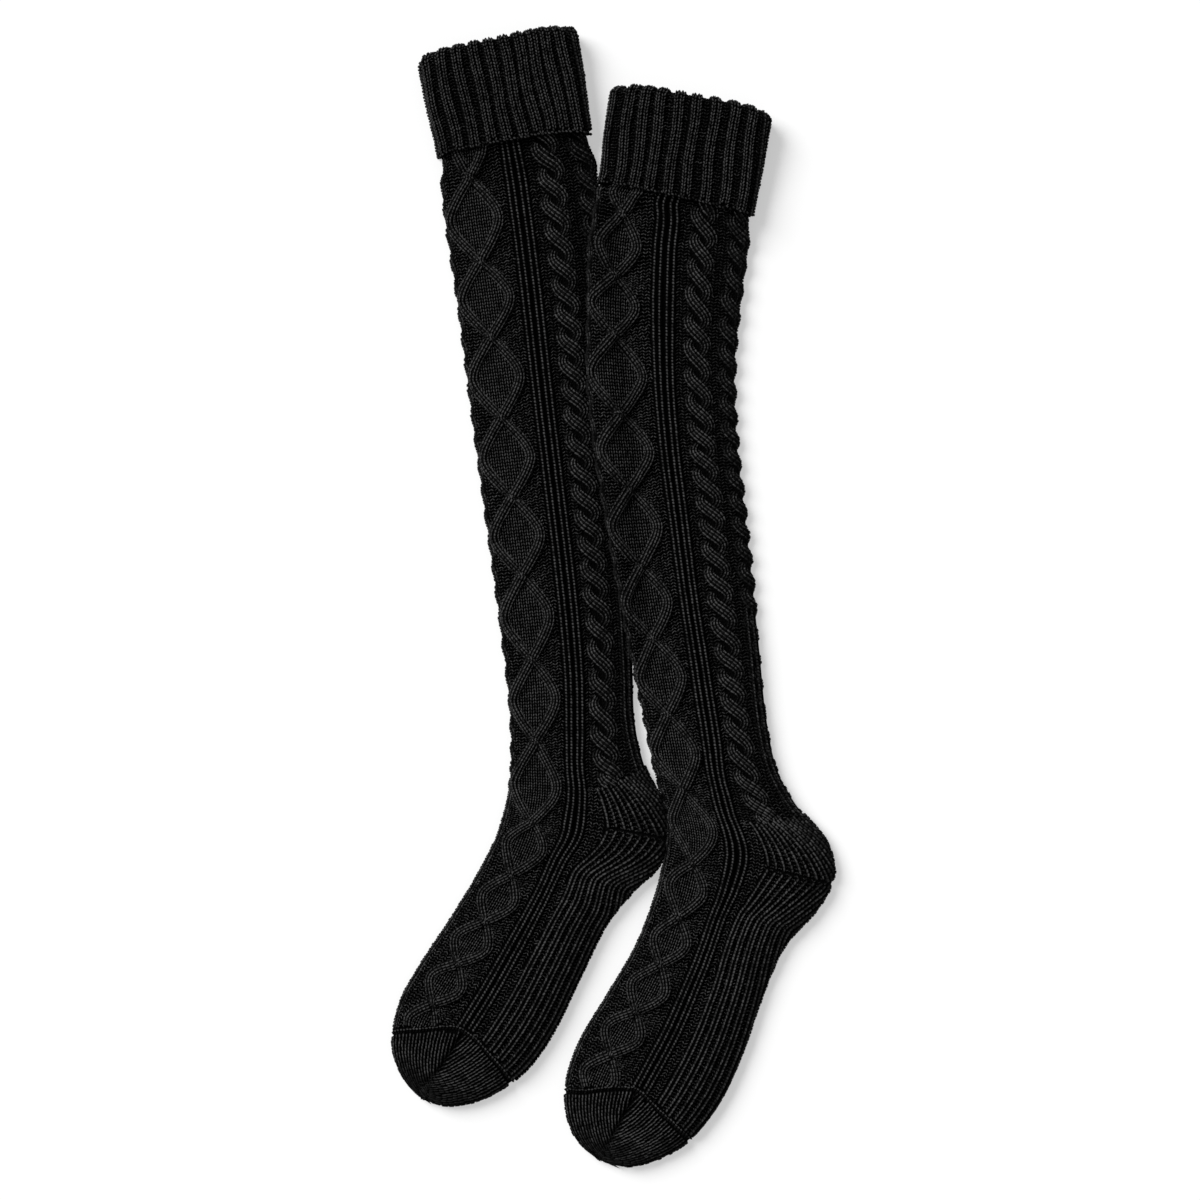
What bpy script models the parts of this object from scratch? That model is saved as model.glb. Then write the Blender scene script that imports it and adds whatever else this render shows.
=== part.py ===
"""Pair of over-the-knee socks in heavy black cable knit, laid flat side by side.

Each sock is one knitted tube, open at the top and closed at the toe, pressed flat so
that its two panels lie on each other, with a ribbed cuff turned down over its top.
The right sock's front edge lies over the left sock's back edge, from knee to calf.

Frame: metres, +Z up, seen from above as the wearer lays them out. +Y runs from the
toes to the cuffs, +X to the right, the heels point to +X, and z = 0 is the surface
that they lie on. Sizes below are in millimetres.
"""
import math
from collections import namedtuple

import bmesh
import bpy

MM = 0.001

# ---------------------------------------------------------------- cloth, in mm
PANEL = 4.0                  # one panel of cable knit, at its plain stitches
PANEL_GAP = 0.8              # between the two panels of the flat sock
LEG_THICK = 2 * PANEL + PANEL_GAP
CUFF_WALL = 4.0              # the turned-down band
SEAM_GAP = 0.3               # between the band and the leg inside it
CUFF_RAISE = CUFF_WALL + SEAM_GAP    # the leg stands this high inside its cuff
RIM_DEPTH = CUFF_RAISE + 0.8         # the leg's rim lies this far under the fold
RIM_GAP = 0.9                # between the rim and the band's lip over it
FALL_BELOW_CUFF = 26.0       # the leg comes down to the surface over this length
FOLD_RADIUS = 5.0            # side folds, seen from above
UNDER_RADIUS = 3.5           # the same folds, where they meet the surface
EDGE_EASE = 22.0             # the panels thin towards a pressed edge over this width
TOE_ROUND = 5.0              # the toe's end rounds down over this length
HOLLOW_ENDS = 50.0           # the inside stops where the toe is this wide

# ---------------------------------------------------------------- the overlap, in mm
RIDE_HEIGHT = 9.2            # the right sock's front edge rides up this far
RIDE_START = -14.0           # measured inward from the left sock's back edge
RIDE_END = 9.0
PRESSED_FLAT = 10.0          # width of the left sock's edge that is pressed evenly

# ---------------------------------------------------------------- knitted relief, in mm
CABLE_HEIGHT = 1.7
CABLE_HALF_WIDTH = 3.7
DIAMOND_FILL = 0.5           # the knit inside a diamond stands above the purl ground
RIB_HEIGHT = 1.1
ROPE_HEIGHT = 2.0
ROPE_TURN = 17.2             # length of one crossing of a rope cable
SOLE_RIB_HEIGHT = 0.8
TOE_SEAM_DEPTH = 0.5
CUFF_RIBS = 10               # on the side that shows
CUFF_RIB_HEIGHT = 1.3
CUFF_RIB_BASE = -0.6         # the valleys lie this far under the band's even surface
SCALLOP = 0.8                # the ribs' ends at fold and hem

# Widths of the leg's panels, as shares of the flat sock from its front fold. They are
# those of the mesh's columns, which the pattern tables below then move.
RIB_BANDS = ((0.435, 0.512), (0.526, 0.600))
ROPES = ((0.652, 0.862), (0.885, 1.03))

# Sections across each sock, from the cuff's fold to the toe, in mm and degrees.
# x, y: middle of the section. width: flat width. tilt: its line against +X.
# front, back: thickness at the two folds. ride: share of RIDE_HEIGHT at the front.
Section = namedtuple("Section", "name x y width tilt front back ride")

LEFT_SECTIONS = [Section(*row) for row in (
    ("fold of cuff", -77.2, 367.3, 100.0, 11.5, 8.8, 8.8, 0),
    ("middle of cuff", -71.1, 329.4, 97.2, 10.5, 8.8, 8.8, 0),
    ("hem of cuff", -65.3, 296.4, 94.5, 9.0, 8.8, 8.6, 0),
    ("below cuff", -62.7, 280.0, 102.5, 9.0, 8.6, 7.6, 0),
    ("top of leg", -60.0, 256.5, 103.0, 9.0, 8.2, 6.5, 0),
    ("above knee", -54.0, 202.5, 99.0, 7.5, 8.2, 6.5, 0),
    ("knee", -47.5, 135.5, 95.0, 7.0, 8.2, 6.5, 0),
    ("below knee", -40.5, 69.0, 91.0, 6.5, 8.2, 6.5, 0),
    ("calf", -33.5, 2.5, 87.0, 6.0, 8.2, 6.5, 0),
    ("above ankle", -28.5, -51.0, 83.5, 5.5, 8.2, 7.4, 0),
    ("ankle", -25.6, -85.0, 84.0, 2.5, 8.2, 8.2, 0),
    ("top of heel", -21.4, -112.0, 92.3, -1.5, 8.4, 8.4, 0),
    ("back of heel", -18.5, -130.5, 100.7, -4.5, 8.6, 8.6, 0),
    ("turn of heel", -18.6, -147.0, 106.2, -9.5, 8.8, 8.8, 0),
    ("under heel", -21.6, -161.8, 107.6, -16.0, 8.8, 8.8, 0),
    ("start of arch", -32.5, -178.0, 97.5, -20.0, 8.6, 8.6, 0),
    ("arch", -47.5, -201.0, 91.7, -21.0, 8.4, 8.4, 0),
    ("foot", -65.0, -232.5, 94.0, -24.0, 8.4, 8.4, 0),
    ("ball of foot", -83.0, -264.5, 98.5, -28.0, 8.4, 8.4, 0),
    ("start of toe", -99.5, -290.5, 94.8, -29.0, 8.4, 8.4, 0),
    ("toe", -113.7, -310.9, 75.0, -30.0, 8.4, 8.4, 0),
    ("toe cap", -122.0, -321.7, 51.5, -33.0, 8.4, 8.4, 0),
    ("end of toe", -125.6, -328.2, 27.0, -34.0, 8.4, 8.4, 0),
    ("tip", -127.2, -331.3, 2.0, -34.0, 8.4, 8.4, 0),
)]

RIGHT_SECTIONS = [Section(*row) for row in (
    ("fold of cuff", 52.2, 329.9, 101.4, -10.0, 8.8, 8.8, 0),
    ("middle of cuff", 45.6, 292.5, 98.3, -11.5, 8.8, 8.8, 0),
    ("hem of cuff", 40.6, 262.7, 96.2, -12.5, 8.8, 8.8, 0.5),
    ("below cuff", 39.0, 248.0, 102.8, -11.0, 8.0, 8.6, 1),
    ("top of leg", 36.0, 228.0, 104.0, -8.0, 7.2, 8.2, 1),
    ("above knee", 32.5, 181.0, 99.2, -5.5, 7.0, 8.2, 1),
    ("knee", 31.5, 142.0, 97.2, -2.5, 7.0, 8.2, 1),
    ("below knee", 35.0, 97.5, 94.5, 1.0, 7.0, 8.2, 1),
    ("calf", 41.0, 54.5, 92.0, 3.5, 7.0, 8.2, 1),
    ("lower calf", 48.0, 6.0, 88.5, 6.5, 7.0, 8.2, 1),
    ("above ankle", 55.4, -43.0, 84.2, 6.5, 7.6, 8.2, 0.6),
    ("ankle", 61.1, -81.0, 80.6, 3.0, 8.2, 8.2, 0),
    ("top of heel", 67.4, -112.0, 81.8, -1.5, 8.4, 8.4, 0),
    ("back of heel", 76.7, -134.5, 89.8, -4.5, 8.6, 8.6, 0),
    ("turn of heel", 88.0, -154.0, 107.3, -8.5, 8.8, 8.8, 0),
    ("under heel", 90.8, -172.0, 113.4, -13.0, 8.8, 8.8, 0),
    ("start of arch", 83.4, -191.6, 105.8, -18.0, 8.6, 8.6, 0),
    ("arch", 70.8, -214.1, 92.4, -19.5, 8.4, 8.4, 0),
    ("foot", 57.1, -246.0, 90.0, -20.0, 8.4, 8.4, 0),
    ("ball of foot", 39.9, -284.6, 98.0, -25.0, 8.4, 8.4, 0),
    ("start of toe", 23.5, -315.0, 101.0, -25.5, 8.4, 8.4, 0),
    ("toe", 8.5, -341.5, 89.0, -26.0, 8.4, 8.4, 0),
    ("toe cap", -1.3, -359.6, 62.3, -24.5, 8.4, 8.4, 0),
    ("end of toe", -6.0, -369.2, 33.8, -25.0, 8.4, 8.4, 0),
    ("tip", -7.7, -372.8, 2.0, -25.0, 8.4, 8.4, 0),
)]

# The tables' origin against the frame's, which is the middle of the pair's own box.
SHIFT_X = -0.06
SHIFT_Y = 0.84

# Where the pattern's lines lie across a sock, as shares of its flat width.
# at: mm along. front, back: corners of the diamonds. ribs_start, ribs_end: the four
# rib lines. rope_start, rope_end: the first rope. second: where the second starts.
Pattern = namedtuple(
    "Pattern", "at front back ribs_start ribs_end rope_start rope_end second")
BEFORE_PATTERN = Pattern(0, 0.036, 0.370, 0.435, 0.600, 0.652, 0.862, 0.885)

LEFT_PATTERN = [Pattern(*row) for row in (
    (60, 0.030, 0.335, 0.405, 0.540, 0.615, 0.800, 0.856),
    (175, 0.030, 0.353, 0.428, 0.568, 0.637, 0.823, 0.875),
    (270, 0.036, 0.374, 0.444, 0.585, 0.641, 0.827, 0.885),
    (370, 0.036, 0.382, 0.457, 0.605, 0.651, 0.865, 0.905),
    (428, 0.034, 0.374, 0.449, 0.597, 0.645, 0.856, 0.900),
    (476, 0.028, 0.328, 0.407, 0.539, 0.600, 0.840, 0.900),
    (515, 0.035, 0.300, 0.362, 0.495, 0.560, 0.800, 0.900),
    (571, 0.098, 0.334, 0.420, 0.539, 0.620, 0.800, 0.900),
    (730, 0.100, 0.320, 0.424, 0.549, 0.625, 0.800, 0.900),
)]

RIGHT_PATTERN = [Pattern(*row) for row in (
    (60, 0.050, 0.290, 0.382, 0.535, 0.616, 0.805, 0.860),
    (134, 0.022, 0.312, 0.422, 0.572, 0.630, 0.830, 0.875),
    (223, 0.040, 0.380, 0.453, 0.590, 0.657, 0.856, 0.900),
    (327, 0.030, 0.348, 0.442, 0.576, 0.645, 0.850, 0.900),
    (424, 0.030, 0.366, 0.436, 0.587, 0.641, 0.848, 0.900),
    (480, 0.035, 0.280, 0.340, 0.466, 0.565, 0.800, 0.900),
    (526, 0.050, 0.300, 0.378, 0.506, 0.560, 0.800, 0.900),
    (571, 0.095, 0.337, 0.424, 0.547, 0.615, 0.800, 0.900),
    (730, 0.100, 0.330, 0.440, 0.560, 0.640, 0.800, 0.900),
)]

# Where each sock's knitting changes, in mm along it from the corners of its cuff.
# crown: the fold bows up this far between its corners. cuff: the hem in its middle.
# hem_drop: its corners hang this much lower. crossings: of the diamond cable.
# heel: the ropes end. sole: the heel's turn. toe: the plain toe's seam.
Sock = namedtuple(
    "Sock", "name sections pattern crown cuff hem_drop crossings heel sole toe")
LEFT = Sock(
    "left", LEFT_SECTIONS, LEFT_PATTERN, crown=6.0, cuff=62.0, hem_drop=4.0,
    crossings=(40, 81, 137, 188, 242, 295, 347, 403, 459, 523, 565, 601, 636, 668, 702),
    heel=484, sole=515, toe=681)
RIGHT = Sock(
    "right", RIGHT_SECTIONS, RIGHT_PATTERN, crown=7.5, cuff=60.5, hem_drop=1.5,
    crossings=(48, 77, 116, 154, 204, 252, 302, 350, 402, 457, 519, 557, 591, 628, 661, 695),
    heel=477, sole=508, toe=682)
BOW_FADES = 20.0             # below the hem the rows lie straight again

# ---------------------------------------------------------------- mesh density
ROW_STEP = 6.9               # between sections of the side that shows
COARSE = 4                   # the underside and the inside take every fourth section
LEG_COLUMNS = (
    0.0, 0.014, 0.04, 0.08, 0.12, 0.165, 0.205, 0.245, 0.29, 0.33, 0.37, 0.41,
    0.43, 0.45, 0.50, 0.519, 0.538, 0.59, 0.61,
    0.65, 0.69, 0.735, 0.78, 0.825, 0.868,
    0.91, 0.955, 0.986, 1.0)
UNDER_COLUMNS = (0.014, 0.04, 0.08, 0.12, 0.165, 0.21, 0.27, 0.5, 0.75, 0.96, 0.986)
INSIDE_COLUMNS = (0.0, 0.08, 0.17, 0.27, 0.5, 0.75, 1.0)
TIP_ROWS = (8.0, 5.6, 3.6, 2.0, 0.8)    # last sections, by their distance from the tip
POINTS_PER_RIB = 4
CUFF_FOLD_COLUMNS = (0.004, 0.0135, 0.9865, 0.996)     # extra ones round its folds
CUFF_UNDER_COLUMNS = (0.004, 0.014, 0.04, 0.25, 0.5, 0.75, 0.96, 0.986, 0.996)
ROWS_IN_CUFF = (0.3, 0.6, 0.95)         # sections of the leg, as shares of the cuff


def smooth(value):
    """0 to 1, with level ends."""
    value = min(max(value, 0.0), 1.0)
    return value * value * (3 - 2 * value)


def bump(value):
    """A rounded ridge of height 1 over -1 to 1."""
    return max(0.0, 1 - value * value)


# ---------------------------------------------------------------- lines along a sock

def stations(sock):
    """Distance of each section along the middle of the sock. The first is its crown."""
    along = [-sock.crown]
    for first, second in zip(sock.sections, sock.sections[1:]):
        along.append(along[-1] + math.hypot(second.x - first.x, second.y - first.y))
    return along


def on_curve(rows, along, at, fields):
    """Values of a table at a distance, on a smooth curve through its rows."""
    last = len(along) - 1
    index = 0
    while index < last - 1 and at > along[index + 1]:
        index += 1
    span = along[index + 1] - along[index]
    share = min(max((at - along[index]) / span, 0.0), 1.0)
    ease = smooth(share)

    def slope(row, field):
        low, high = max(row - 1, 0), min(row + 1, last)
        rise = getattr(rows[high], field) - getattr(rows[low], field)
        return rise / (along[high] - along[low]) * span

    return {
        field: (getattr(rows[index], field) * (1 - ease)
                + getattr(rows[index + 1], field) * ease
                + slope(index, field) * share * (1 - share) ** 2
                - slope(index + 1, field) * share ** 2 * (1 - share))
        for field in fields}


def section_at(sock, at):
    """The section at a distance along the sock."""
    values = on_curve(sock.sections, stations(sock), at, Section._fields[1:])
    return Section("between", **values)


def pattern_at(sock, at):
    """The pattern's lines at a distance along the sock."""
    along = [row.at for row in sock.pattern]
    return Pattern(at, **on_curve(sock.pattern, along, at, Pattern._fields[1:]))


def bowed(sock, at, offset, width):
    """Distance along at an offset: the cuff's fold and hem bow up between their corners."""
    from_fold = (at + sock.crown) / (sock.cuff + sock.crown)
    drop = sock.crown * (1 - from_fold) + sock.hem_drop * from_fold
    if from_fold > 1:
        drop = sock.hem_drop * (1 - smooth((at - sock.cuff) / BOW_FADES))
    return at + drop * min(abs(offset) / (width / 2 + CUFF_RAISE), 1.0) ** 5


def across(section, offset):
    """Point of the plan at an offset from the section's middle."""
    tilt = math.radians(section.tilt)
    x = section.x + SHIFT_X + offset * math.cos(tilt)
    y = section.y + SHIFT_Y + offset * math.sin(tilt)
    return x, y


def back_edge_line():
    """The left sock's back edge, as plan points from cuff to heel."""
    line = []
    steps = 60
    for step in range(steps + 1):
        section = section_at(LEFT, LEFT.sole * step / steps)
        line.append(across(section, section.width / 2))
    return line


BACK_EDGE = back_edge_line()


def reach_over_left(x, y):
    """How far a plan point lies inside the left sock's back edge."""
    for (x0, y0), (x1, y1) in zip(BACK_EDGE, BACK_EDGE[1:]):
        if y1 <= y <= y0:
            share = (y0 - y) / (y0 - y1)
            return x0 + (x1 - x0) * share - x
    return RIDE_START


# ---------------------------------------------------------------- the flat tube

def cuff_raise(sock, at):
    """Height of the leg's underside over the surface, from its cuff's thickness."""
    return CUFF_RAISE * (1 - smooth((at - sock.cuff - 1) / FALL_BELOW_CUFF))


def panel_heights(sock, section, at, offset, width):
    """Thickness and underside of the sock at an offset across it."""
    to_front, to_back = offset + width / 2, width / 2 - offset
    thick = LEG_THICK
    thick -= (LEG_THICK - section.front) * (1 - smooth(to_front / EDGE_EASE))
    from_pressed = (to_back - PRESSED_FLAT) / (EDGE_EASE - 6)
    thick -= (LEG_THICK - section.back) * (1 - smooth(from_pressed))
    under = cuff_raise(sock, at)
    if section.ride > 0:
        x, y = across(section, offset)
        reach = (reach_over_left(x, y) - RIDE_START) / (RIDE_END - RIDE_START)
        under = max(under, RIDE_HEIGHT * smooth(section.ride) * smooth(reach))
    return thick, under


def fold_height(distance, radius):
    """Share of the half thickness at a distance in from the side fold."""
    inward = max(0.0, 1 - distance / radius)
    return math.sqrt(1 - inward * inward)


def tube_point(sock, at, share, top, grow=0.0, lift=0.0, end=1.0):
    """A point on the tube's skin, offset outward by grow, raised by lift along its normal.

    end is the share of the thickness that is left where the toe rounds down.
    """
    leg_width = section_at(sock, at).width
    offset = (share - 0.5) * (leg_width + 2 * grow)
    section = section_at(sock, bowed(sock, at, offset, leg_width))
    width = section.width + 2 * grow
    offset = (share - 0.5) * width
    edge = width / 2 - abs(offset)
    radius = (FOLD_RADIUS if top else UNDER_RADIUS) + grow
    radius = max(min(radius, width / 2), 0.1)
    thick, under = panel_heights(sock, section, at, offset, width)
    half = (thick / 2 + grow) * end
    centre = under + thick / 2
    height = fold_height(edge, radius)
    outward = max(0.0, 1 - edge / radius) * (1 if offset > 0 else -1)
    sign = 1 if top else -1
    x, y = across(section, offset + outward * lift)
    return x * MM, y * MM, (centre + sign * height * (half + lift)) * MM


def inside_point(sock, at, share, top):
    """A point of the plain inside, a flat hollow round the middle of the sock."""
    leg_width = section_at(sock, at).width
    offset = (share - 0.5) * (leg_width - 2 * PANEL)
    section = section_at(sock, bowed(sock, at, offset, leg_width))
    offset = (share - 0.5) * (section.width - 2 * PANEL)
    thick, under = panel_heights(sock, section, at, offset, section.width)
    half = PANEL_GAP / 2 if 0.0 < share < 1.0 else 0.0
    x, y = across(section, offset)
    return x * MM, y * MM, (under + thick / 2 + (half if top else -half)) * MM


# ---------------------------------------------------------------- knitted relief

def placed(pattern, share):
    """Share of the width where a column of the mesh lies, between the pattern's lines."""
    before = (0.0,) + BEFORE_PATTERN[1:] + (1.0,)
    after = (0.0,) + pattern[1:] + (1.0,)
    for number in range(len(before) - 1):
        if share <= before[number + 1]:
            break
    span = before[number + 1] - before[number]
    part = (share - before[number]) / span
    return after[number] + (after[number + 1] - after[number]) * part


def diamond_relief(sock, pattern, width, at, share):
    """Two cable strands that part and cross, with raised knit between them."""
    for start, end in zip(sock.crossings, sock.crossings[1:]):
        if start <= at <= end:
            out = math.sin(math.pi * (at - start) / (end - start)) ** 0.8
            break
    else:
        return 0.0
    from_middle = abs(share - (pattern.front + pattern.back) / 2)
    spread = out * (pattern.back - pattern.front) / 2
    from_strand = abs(from_middle - spread) * width
    strand = CABLE_HEIGHT * bump(from_strand / CABLE_HALF_WIDTH)
    fill = DIAMOND_FILL if from_middle < spread else 0.0
    return max(strand, fill)


def rib_relief(share):
    """The two double ribs beside the diamonds."""
    for start, end in RIB_BANDS:
        if start <= share <= end:
            return RIB_HEIGHT
    return 0.0


def rope_relief(at, share):
    """Rope cables: slanting lobes, one for each crossing."""
    for start, end in ROPES:
        if start < share < end:
            place = (share - start) / (end - start)
            lobe = abs(math.sin(math.pi * (at / ROPE_TURN - 0.8 * place)))
            return ROPE_HEIGHT * math.sqrt(bump(2 * place - 1)) * (0.4 + 0.6 * lobe)
    return 0.0


def sole_relief(column):
    """Fine ribs of heel and sole, one for each second column of the mesh."""
    return SOLE_RIB_HEIGHT * (column % 2)


def leg_relief(sock, pattern, section, at, column):
    """Height of the knitted relief at one point of the side that shows."""
    share = LEG_COLUMNS[column]
    if share < 0.42:
        height = diamond_relief(sock, pattern, section.width, at, placed(pattern, share))
        if share < 0.03:
            height = max(height, ROPE_HEIGHT / 2 * abs(math.sin(math.pi * at / ROPE_TURN)))
    elif share < 0.62:
        height = rib_relief(share)
    else:
        to_heel = smooth((at - sock.heel) / ROPE_TURN + 0.5)
        height = rope_relief(at, share) * (1 - to_heel) + sole_relief(column) * to_heel
        # The stretch that is pressed under the other sock lies smooth.
        pressed = smooth((LEG_THICK - section.back) / 2)
        in_from_back = (1 - placed(pattern, share)) * section.width
        height *= 1 - pressed * (1 - smooth(in_from_back / PRESSED_FLAT - 1.2))
    height *= smooth((at - sock.cuff - 6) / 6)
    into_toe = smooth((at - sock.toe) / 8)
    return height * (1 - into_toe) - TOE_SEAM_DEPTH * bump((at - sock.toe) / 5)


# ---------------------------------------------------------------- skins

def stitch(mesh, first, second):
    """Triangles between two chains of (place, vertex) that run the same way."""
    i = j = 0
    while i < len(first) - 1 or j < len(second) - 1:
        first_ends = i == len(first) - 1
        second_ends = j == len(second) - 1
        if second_ends or (not first_ends and first[i + 1][0] <= second[j + 1][0]):
            corners = (first[i][1], first[i + 1][1], second[j][1])
            i += 1
        else:
            corners = (first[i][1], second[j + 1][1], second[j][1])
            j += 1
        if len(set(corners)) == 3:
            mesh.faces.new(corners)


def quads(mesh, rows):
    """A grid of faces over rows of vertices."""
    for row, following in zip(rows, rows[1:]):
        for a, b, c, d in zip(row, row[1:], following[1:], following):
            mesh.faces.new((a, b, c, d))


def from_fold(sock, distance):
    return distance - sock.crown


def depths_in_cuff(sock):
    """Distances from the fold at which the leg and the band both have a section."""
    return [share * (sock.cuff + sock.crown) for share in ROWS_IN_CUFF]


def leg_rows(sock):
    """Sections of the mesh: sparse inside the cuff, closer at the toe's end. Each is
    (distance along the sock, whether the underside and the inside have it too)."""
    tip = stations(sock)[-1]
    rows = [(from_fold(sock, RIM_DEPTH), True)]
    rows += [(from_fold(sock, distance), True) for distance in depths_in_cuff(sock)]
    length = tip - TIP_ROWS[0] - sock.cuff
    count = round(length / ROW_STEP / COARSE) * COARSE
    for number in range(count):
        rows.append((sock.cuff + length * number / count, number % COARSE == 0))
    for distance in TIP_ROWS:
        rows.append((tip - distance, distance in (TIP_ROWS[0], TIP_ROWS[-1])))
    return rows


def build_stocking(sock):
    """Leg, heel, foot and toe: one tube with walls, open at its rim."""
    mesh = bmesh.new()
    tip = stations(sock)[-1]
    rows = leg_rows(sock)
    top, under, roof, floor = [], [], [], []
    coarse = []
    for at, is_coarse in rows:
        section = section_at(sock, at)
        pattern = pattern_at(sock, at)
        end = fold_height(tip - at, TOE_ROUND)
        top.append([
            mesh.verts.new(tube_point(
                sock, at, placed(pattern, share), True,
                lift=leg_relief(sock, pattern, section, at, column), end=end))
            for column, share in enumerate(LEG_COLUMNS)])
        if not is_coarse:
            continue
        coarse.append(at)
        under.append([mesh.verts.new(tube_point(sock, at, share, False, end=end))
                      for share in UNDER_COLUMNS])
        if section.width > HOLLOW_ENDS:
            ceiling = [mesh.verts.new(inside_point(sock, at, share, True))
                       for share in INSIDE_COLUMNS]
            bottom = [mesh.verts.new(inside_point(sock, at, share, False))
                      for share in INSIDE_COLUMNS[1:-1]]
            roof.append(ceiling)
            floor.append([ceiling[0]] + bottom + [ceiling[-1]])

    quads(mesh, top)
    quads(mesh, under)
    quads(mesh, roof)
    quads(mesh, floor)

    # The side folds join the close sections above to the sparse ones below.
    for side in (0, -1):
        above = [(at, row[side]) for (at, _), row in zip(rows, top)]
        below = [(at, row[side]) for at, row in zip(coarse, under)]
        stitch(mesh, above, below)

    # The rim, from the outer skin to the hollow.
    def chain(shares, row):
        return list(zip(shares, row))

    rim_under = [top[0][0]] + under[0] + [top[0][-1]]
    stitch(mesh, chain(LEG_COLUMNS, top[0]), chain(INSIDE_COLUMNS, roof[0]))
    stitch(mesh, chain((0.0,) + UNDER_COLUMNS + (1.0,), rim_under),
           chain(INSIDE_COLUMNS, floor[0]))

    # The hollow ends before the toe, and the outer skin closes at the tip.
    stitch(mesh, chain(INSIDE_COLUMNS, roof[-1]), chain(INSIDE_COLUMNS, floor[-1]))
    last = section_at(sock, tip)
    thick, base = panel_heights(sock, last, tip, 0.0, last.width)
    x, y = across(last, 0.0)
    point = mesh.verts.new((x * MM, y * MM, (base + thick / 2) * MM))
    end_loop = top[-1] + under[-1][::-1]
    for vertex, following in zip(end_loop, end_loop[1:] + end_loop[:1]):
        mesh.faces.new((vertex, following, point))
    return mesh


def cuff_profile(sock):
    """The band's outline round its thickness, as (distance from the fold, how far it
    stands out from the leg's skin). Its lip turns in over the leg's rim."""
    depth = sock.cuff + sock.crown
    lip = -PANEL
    rim = RIM_DEPTH - RIM_GAP
    outside = [(depth, CUFF_RAISE - 1.3), (depth - 1.6, CUFF_RAISE),
               (depth / 2, CUFF_RAISE), (3.4, CUFF_RAISE), (1.0, CUFF_RAISE - 1.0)]
    fold = [(0.0, 1.4), (0.3, lip + 1.2), (1.4, lip), (rim, lip)]
    inside = [(rim, SEAM_GAP)] + [(distance, SEAM_GAP) for distance in depths_in_cuff(sock)]
    return outside + fold + inside + [(depth, SEAM_GAP)]


def cuff_rib(share):
    """0 in a valley, 1 on a rib."""
    return 0.5 - 0.5 * math.cos(2 * math.pi * CUFF_RIBS * share)


def build_cuff(sock):
    """The turned-down band: a ring with its lip over the leg's rim."""
    mesh = bmesh.new()
    count = CUFF_RIBS * POINTS_PER_RIB
    columns = [number / count for number in range(count + 1)]
    columns = sorted(columns + list(CUFF_FOLD_COLUMNS))
    rings = []
    for distance, grow in cuff_profile(sock):
        at = from_fold(sock, distance)
        ribbed = grow > 1.0
        ring = []
        for share in columns:
            rib = cuff_rib(share) if ribbed else 0.0
            lift = CUFF_RIB_BASE + CUFF_RIB_HEIGHT * rib if ribbed else 0.0
            outward = (at == sock.cuff) - (distance < RIM_DEPTH / 2)
            ring.append(mesh.verts.new(tube_point(
                sock, at + SCALLOP * rib * outward, share, True, grow=grow, lift=lift)))
        for share in reversed(CUFF_UNDER_COLUMNS):
            ring.append(mesh.verts.new(tube_point(sock, at, share, False, grow=grow)))
        rings.append(ring)
    closed = [ring + ring[:1] for ring in rings]
    quads(mesh, closed + closed[:1])
    return mesh


# ---------------------------------------------------------------- objects

def yarn(name, colour, roughness):
    """A plain dark yarn."""
    material = bpy.data.materials.new(name)
    material.use_nodes = True
    shader = material.node_tree.nodes["Principled BSDF"]
    shader.inputs["Base Color"].default_value = (*colour, 1.0)
    shader.inputs["Roughness"].default_value = roughness
    shader.inputs["Metallic"].default_value = 0.0
    return material


def add_node(name, mesh, material, collection, parent):
    """One closed solid as a named object, its faces pointing out."""
    bmesh.ops.recalc_face_normals(mesh, faces=mesh.faces)
    bmesh.ops.triangulate(mesh, faces=mesh.faces)
    data = bpy.data.meshes.new(name)
    mesh.to_mesh(data)
    mesh.free()
    data.materials.append(material)
    data.shade_smooth()
    node = bpy.data.objects.new(name, data)
    node.parent = parent
    collection.objects.link(node)
    return node


def main():
    for item in list(bpy.data.objects):
        bpy.data.objects.remove(item, do_unlink=True)
    collection = bpy.data.collections.new("over_the_knee_socks")
    bpy.context.scene.collection.children.link(collection)
    pair = bpy.data.objects.new("sock_pair", None)
    collection.objects.link(pair)
    leg_yarn = yarn("black wool cable knit", (0.010, 0.010, 0.011), 0.92)
    cuff_yarn = yarn("black wool rib knit", (0.008, 0.008, 0.009), 0.95)
    for sock in (LEFT, RIGHT):
        add_node(sock.name + "_stocking", build_stocking(sock), leg_yarn,
                 collection, pair)
        add_node(sock.name + "_cuff", build_cuff(sock), cuff_yarn, collection, pair)


main()
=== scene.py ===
# %% [markdown]
# # A pair of over-the-knee socks in black cable knit
#
# The real things are two knitted tubes of heavy black wool, laid flat side by side on a
# white table. What makes them look real is the knitting itself: hundreds of rows of
# small loops, and the raised cables that cross over them. This notebook takes the
# fixed CAD model as its frame, and dresses it with yarn, loop by loop.

# %% Load the frame
import math

import bpy
import numpy as np
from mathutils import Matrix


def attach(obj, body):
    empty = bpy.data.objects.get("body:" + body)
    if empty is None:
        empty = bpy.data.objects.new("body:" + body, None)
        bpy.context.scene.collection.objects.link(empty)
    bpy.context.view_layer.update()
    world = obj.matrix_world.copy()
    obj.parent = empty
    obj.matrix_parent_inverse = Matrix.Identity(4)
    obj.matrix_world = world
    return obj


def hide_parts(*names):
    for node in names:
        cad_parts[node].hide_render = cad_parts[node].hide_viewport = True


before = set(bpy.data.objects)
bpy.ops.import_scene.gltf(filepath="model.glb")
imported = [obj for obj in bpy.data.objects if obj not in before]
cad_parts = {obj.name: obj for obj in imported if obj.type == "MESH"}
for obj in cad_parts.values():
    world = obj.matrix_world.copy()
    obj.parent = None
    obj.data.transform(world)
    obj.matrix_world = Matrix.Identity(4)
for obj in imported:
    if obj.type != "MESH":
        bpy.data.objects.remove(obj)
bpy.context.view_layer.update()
MM = 0.001
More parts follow.
